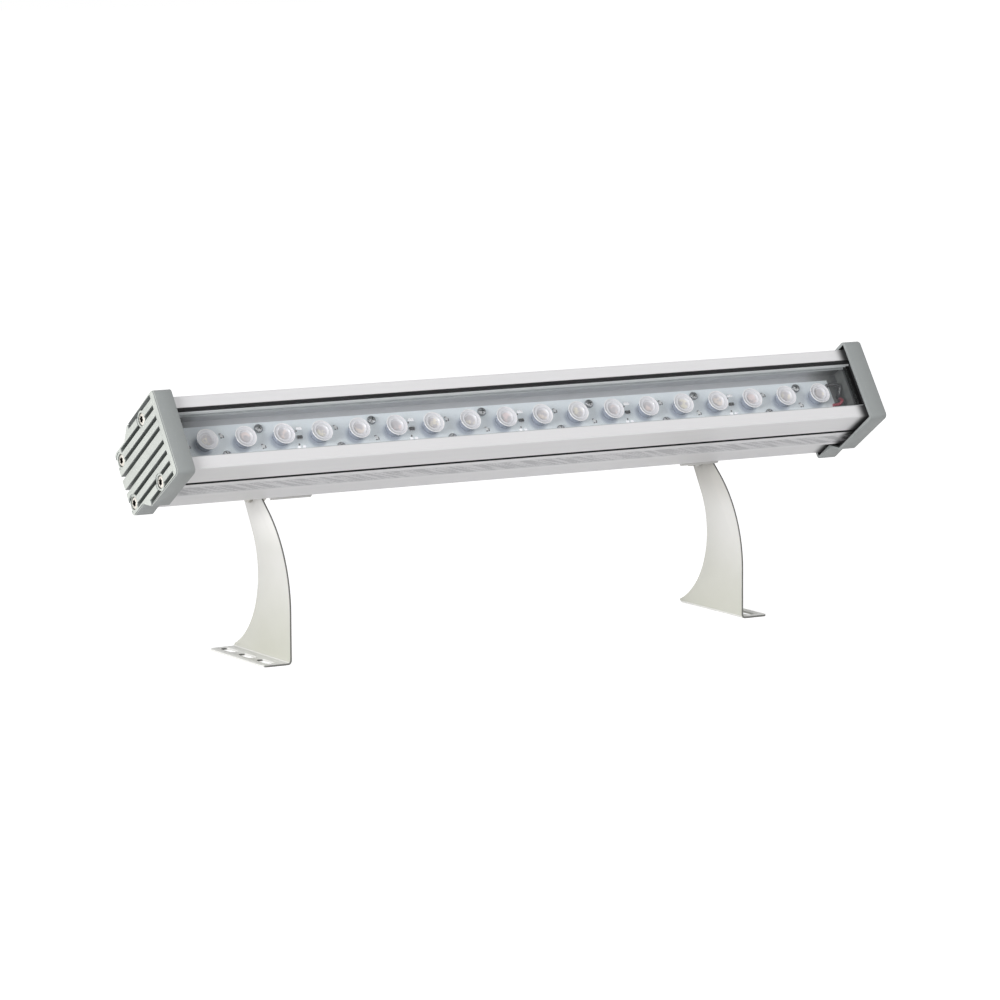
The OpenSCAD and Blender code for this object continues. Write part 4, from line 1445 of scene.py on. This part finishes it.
@dataclass(frozen=True)
class Leads:
    """The two wires from the board to the gland, along the routes of the part's source."""

    runner: WireRunner
    radius: float = 1.05
    pad_x: float = 227.9
    hole_x: float = 236.4
    hole_y: float = -0.6
    gland_x: float = 215.0
    board_top: float = 43.6
    cavity_top: float = 39.4
    cavity_low: float = 8.4

    def route(self, pad_y: float, bulge_x: float, bulge_y: float, side: int) -> list[Point]:
        """Points of one wire.

        Args:
            pad_y: place of its pad across the board.
            bulge_x: x of the outermost point of its bow.
            bulge_y: y of that point.
            side: 1 or -1, the side of the gland's middle that it takes.

        Returns:
            The points in lamp millimetres.
        """
        lie = self.board_top + self.radius + 0.05
        hole_y = self.hole_y + side * 1.1
        run_z = self.cavity_top - 8
        return [
            (self.pad_x, pad_y, lie),
            (self.pad_x + 4.5, pad_y, lie + 0.9),
            (bulge_x, bulge_y, lie + 1.1),
            (self.hole_x, hole_y, 42.4),
            (self.hole_x, hole_y, self.cavity_top - 1),
            (self.hole_x - 3, hole_y, run_z + 1.5),
            ((self.hole_x + self.gland_x) / 2 + 1, hole_y * 0.6 + side, run_z - 1),
            (self.gland_x + 3, side * 1.3, run_z - 5),
            (self.gland_x, side * 1.2, self.cavity_low + 8),
            (self.gland_x, side * 1.1, self.cavity_low),
            (self.gland_x, side * 1.1, 3.0),
        ]

    def build(self) -> None:
        """Runs both wires."""
        red = self.route(-6.9, self.hole_x - 1.2, -4.6, -1)
        black = self.route(7.3, self.hole_x + 0.8, 5.6, 1)
        for piece, route in (
            (Piece("red_lead", Finish.RED, "wire_red", ("red_wire",)), red),
            (Piece("black_lead", Finish.BLACK, "wire_black", ("black_wire",)), black),
        ):
            self.runner.sweep(piece, route, self.radius)


@dataclass(frozen=True)
class EndCap:
    """One ribbed casting with its four head screws."""

    repeater: Repeater
    edge: float = 0.45
    seat_x: float = 246.4
    head_r: float = 3.9
    head_h: float = 2.8
    star_r: float = 2.35
    # A dark plate deep in each screw's recess, standing in for the shade there.
    floor: Brick = ((3.5, 3.5, 0.25), (0, 0, 1.15), 0.0)
    spots: tuple[tuple[float, float], ...] = (
        (-21.0, 40.5), (21.0, 40.5), (-14.4, 1.9), (14.4, 1.9),
    )

    def head_mesh(self) -> Mesh:
        """A low dome with a star recess.

        Returns:
            The mesh.
        """
        r, h, star_r = self.head_r, self.head_h, self.star_r
        dome = [
            (r - 0.1, 0.0, 0.0), (r, 0.1, 0.0), (r, h - 1.0, 0.0), (r - 0.12, h - 0.7, 0.0),
            (r - 0.55, h - 0.28, 0.0), (r - 1.1, h - 0.06, 0.0), (star_r + 0.25, h, 0.0),
        ]
        socket = [
            (star_r, h - 0.03, 0.1), (star_r, h - 0.08, 1.0), (star_r, h - 1.9, 1.0),
            (0.4, h - 2.0, 1.0),
        ]
        star = Recess(star_r, star_r * 0.74, 6)
        return Lathe(48).mesh("cap_screw", dome + socket, {7: star, 8: star, 9: star})

    def build(self, side: Side, softener: EdgeSoftener) -> None:
        """Rounds and dresses the cap and puts its screws on.

        Args:
            side: the lamp's end.
            softener: rounds the casting's edges.
        """
        word = side.word
        cap = Piece(f"{word}_cast_cap", Finish.CAP, "cap_paint", (f"{word}_end_cap",))
        softener.show(cap, self.edge)
        places = [
            Place((side * self.seat_x, y, z), aim=(float(side), 0.0, 0.0), turn=0.4 * k)
            for k, (y, z) in enumerate(self.spots)
        ]
        name, slot = f"{word}_cap_screw", "screw_steel"
        heads, shade_plates = self.head_mesh(), Blocks().mesh("screw_socket", [self.floor])
        for piece, model in (
            (Piece(f"{name}_heads", Finish.STEEL, slot, (f"{name}s",)), heads),
            (Piece(f"{name}_sockets", Finish.SOCKET, slot), shade_plates),
        ):
            self.repeater.repeat(piece, model, places)


@dataclass(frozen=True)
class Mounting:
    """One side's bracket, fasteners and foot arm."""

    edge: float = 0.22

    def build(self, side: Side, softener: EdgeSoftener) -> None:
        """Rounds and dresses the sheets and dresses the fasteners.

        Args:
            side: the lamp's end.
            softener: rounds the sheets' edges.
        """
        word = side.word
        sheet = Finish[f"{side.name}_SHEET"]
        arm, carriage = Body[f"{side.name}_FOOT_ARM"], Body[f"{side.name}_CARRIAGE"]
        for node, name, finish, body in (
            ("arm", "foot_sheet", sheet, arm),
            ("hinge_bracket", "bracket_sheet", Finish.BRACKET, carriage),
        ):
            made = Piece(f"{word}_{name}", finish, "arm_paint", (f"{word}_{node}",), body)
            softener.show(made, self.edge)
        dress_nodes(
            f"{word}_", slot_nut=Finish.ZINC, clamp_screws=Finish.STEEL,
            friction_washer=Finish.WASHER, pivot_bolt=Finish.ZINC, pivot_washer=Finish.ZINC,
            pivot_nut=Finish.ZINC,
        )


@dataclass(frozen=True)
class CableEntry:
    """The gland behind the right end."""

    def build(self) -> None:
        """Dresses its nodes."""
        dress_nodes(
            "gland_", body=Finish.NYLON, nut=Finish.NYLON, seal=Finish.RUBBER,
            insert=Finish.RUBBER,
        )


# Studio


@dataclass(frozen=True)
class SoftBox:
    """One soft lamp, in metres and watts."""

    name: str
    place: Point
    size: tuple[float, float]
    power: float
    target: Point = (0.0, 0.0, 0.1)

    def hang(self) -> None:
        """Makes the lamp and aims it."""
        data = bpy.data.lights.new(self.name, "AREA")
        data.shape = "RECTANGLE"
        data.size, data.size_y = self.size
        data.energy = self.power
        lamp = new_object(self.name, data)
        lamp.location = self.place
        aim = Vector(self.target) - Vector(self.place)
        lamp.rotation_euler = aim.to_track_quat("-Z", "Y").to_euler()


@dataclass(frozen=True)
class Studio:
    """Floor, world, lamps and the camera at the photograph's place."""

    yaw: float = 30.237
    pitch: float = 8.103
    roll: float = 0.192
    focal_px: float = 4821.6
    image_px: int = 1000
    sensor: float = 36.0
    eye: Point = (-1.4831, -2.5404, 0.5042)
    floor_half: float = 9.0
    floor_grey: float = 0.8
    floor_glow: float = 0.66
    world_strength: float = 0.47
    lamps: tuple[SoftBox, ...] = (
        SoftBox("left_box", (-5.5, -2.4, 1.1), (3.0, 2.0), 315.0),
        SoftBox("front_box", (0.3, -1.9, 1.9), (2.6, 1.8), 4.7),
        SoftBox("right_fill", (2.2, -1.6, 1.0), (1.8, 1.4), 7.4),
    )

    def camera(self) -> None:
        """Makes the camera."""
        yaw, pitch, roll = (math.radians(a) for a in (self.yaw, self.pitch, self.roll))
        level = math.cos(pitch)
        forward = Vector((math.sin(yaw) * level, math.cos(yaw) * level, -math.sin(pitch)))
        right = Vector((math.cos(yaw), -math.sin(yaw), 0.0))
        down = forward.cross(right)
        turned_right = math.cos(roll) * right + math.sin(roll) * down
        turned_down = -math.sin(roll) * right + math.cos(roll) * down
        data = bpy.data.cameras.new("photo_camera")
        data.sensor_width = self.sensor
        data.lens = self.focal_px * self.sensor / self.image_px
        data.clip_start, data.clip_end = 0.05, 50.0
        camera = new_object("photo_camera", data)
        turn = Matrix((turned_right, -turned_down, -forward)).transposed()
        camera.matrix_world = Matrix.Translation(self.eye) @ turn.to_4x4()
        bpy.context.scene.camera = camera

    @staticmethod
    def white_rays(graph: Graph) -> Signal:
        """1 for camera, glossy and transmission rays.

        Args:
            graph: the node tree that is being built.

        Returns:
            The mask.
        """
        path = graph.node("ShaderNodeLightPath")
        kinds = ("Camera", "Glossy", "Transmission")
        camera, glossy, sent = (Signal(graph, path.outputs[f"Is {kind} Ray"]) for kind in kinds)
        return camera.larger(glossy).larger(sent)

    def floor(self) -> None:
        """Makes the pale floor, which keeps the shadow."""
        mesh = bpy.data.meshes.new("floor")
        r, grey = self.floor_half, (self.floor_grey,) * 3
        mesh.from_pydata([(-r, -r, 0), (r, -r, 0), (r, r, 0), (-r, r, 0)], [], [(0, 1, 2, 3)])
        shade = Shade("studio_floor")
        plain = shade.signal("ShaderNodeBsdfDiffuse", {"Color": (*grey, 1)})
        glow = shade.signal(
            "ShaderNodeEmission", {"Color": (1, 1, 1, 1), "Strength": self.floor_glow}
        )
        lit = shade.signal("ShaderNodeAddShader", {0: plain, 1: glow})
        ends = {0: self.white_rays(shade), 1: plain, 2: lit}
        shade.node("ShaderNodeOutputMaterial", {0: shade.signal("ShaderNodeMixShader", ends)})
        mesh.materials.append(shade.material)
        new_object("floor", mesh)

    def world(self) -> None:
        """Makes the world: white behind the object, plain light from all round."""
        world = bpy.data.worlds.new("studio")
        bpy.context.scene.world = world
        world.use_nodes = True
        graph = Graph(world.node_tree)
        level = self.white_rays(graph) * (1.0 - self.world_strength) + self.world_strength
        sky = graph.signal("ShaderNodeBackground", {"Color": (1, 1, 1, 1), "Strength": level})
        graph.node("ShaderNodeOutputWorld", {0: sky})

    def build(self) -> None:
        """Builds the studio."""
        self.camera()
        self.floor()
        self.world()
        for box in self.lamps:
            box.hang()
        bpy.context.scene.view_settings.view_transform = "Standard"
        LOG.info("studio ready")


def main() -> None:
    """Builds the pieces in order."""
    logging.basicConfig(level=logging.INFO, format="%(name)s: %(message)s")
    repeater, softener = Repeater(), EdgeSoftener()
    Housing().build()
    LedRow(repeater).build()
    Leads(WireRunner()).build()
    for side in Side:
        EndCap(repeater).build(side, softener)
        Mounting().build(side, softener)
    CableEntry().build()
    Studio().build()


if __name__ == "__main__":
    main()
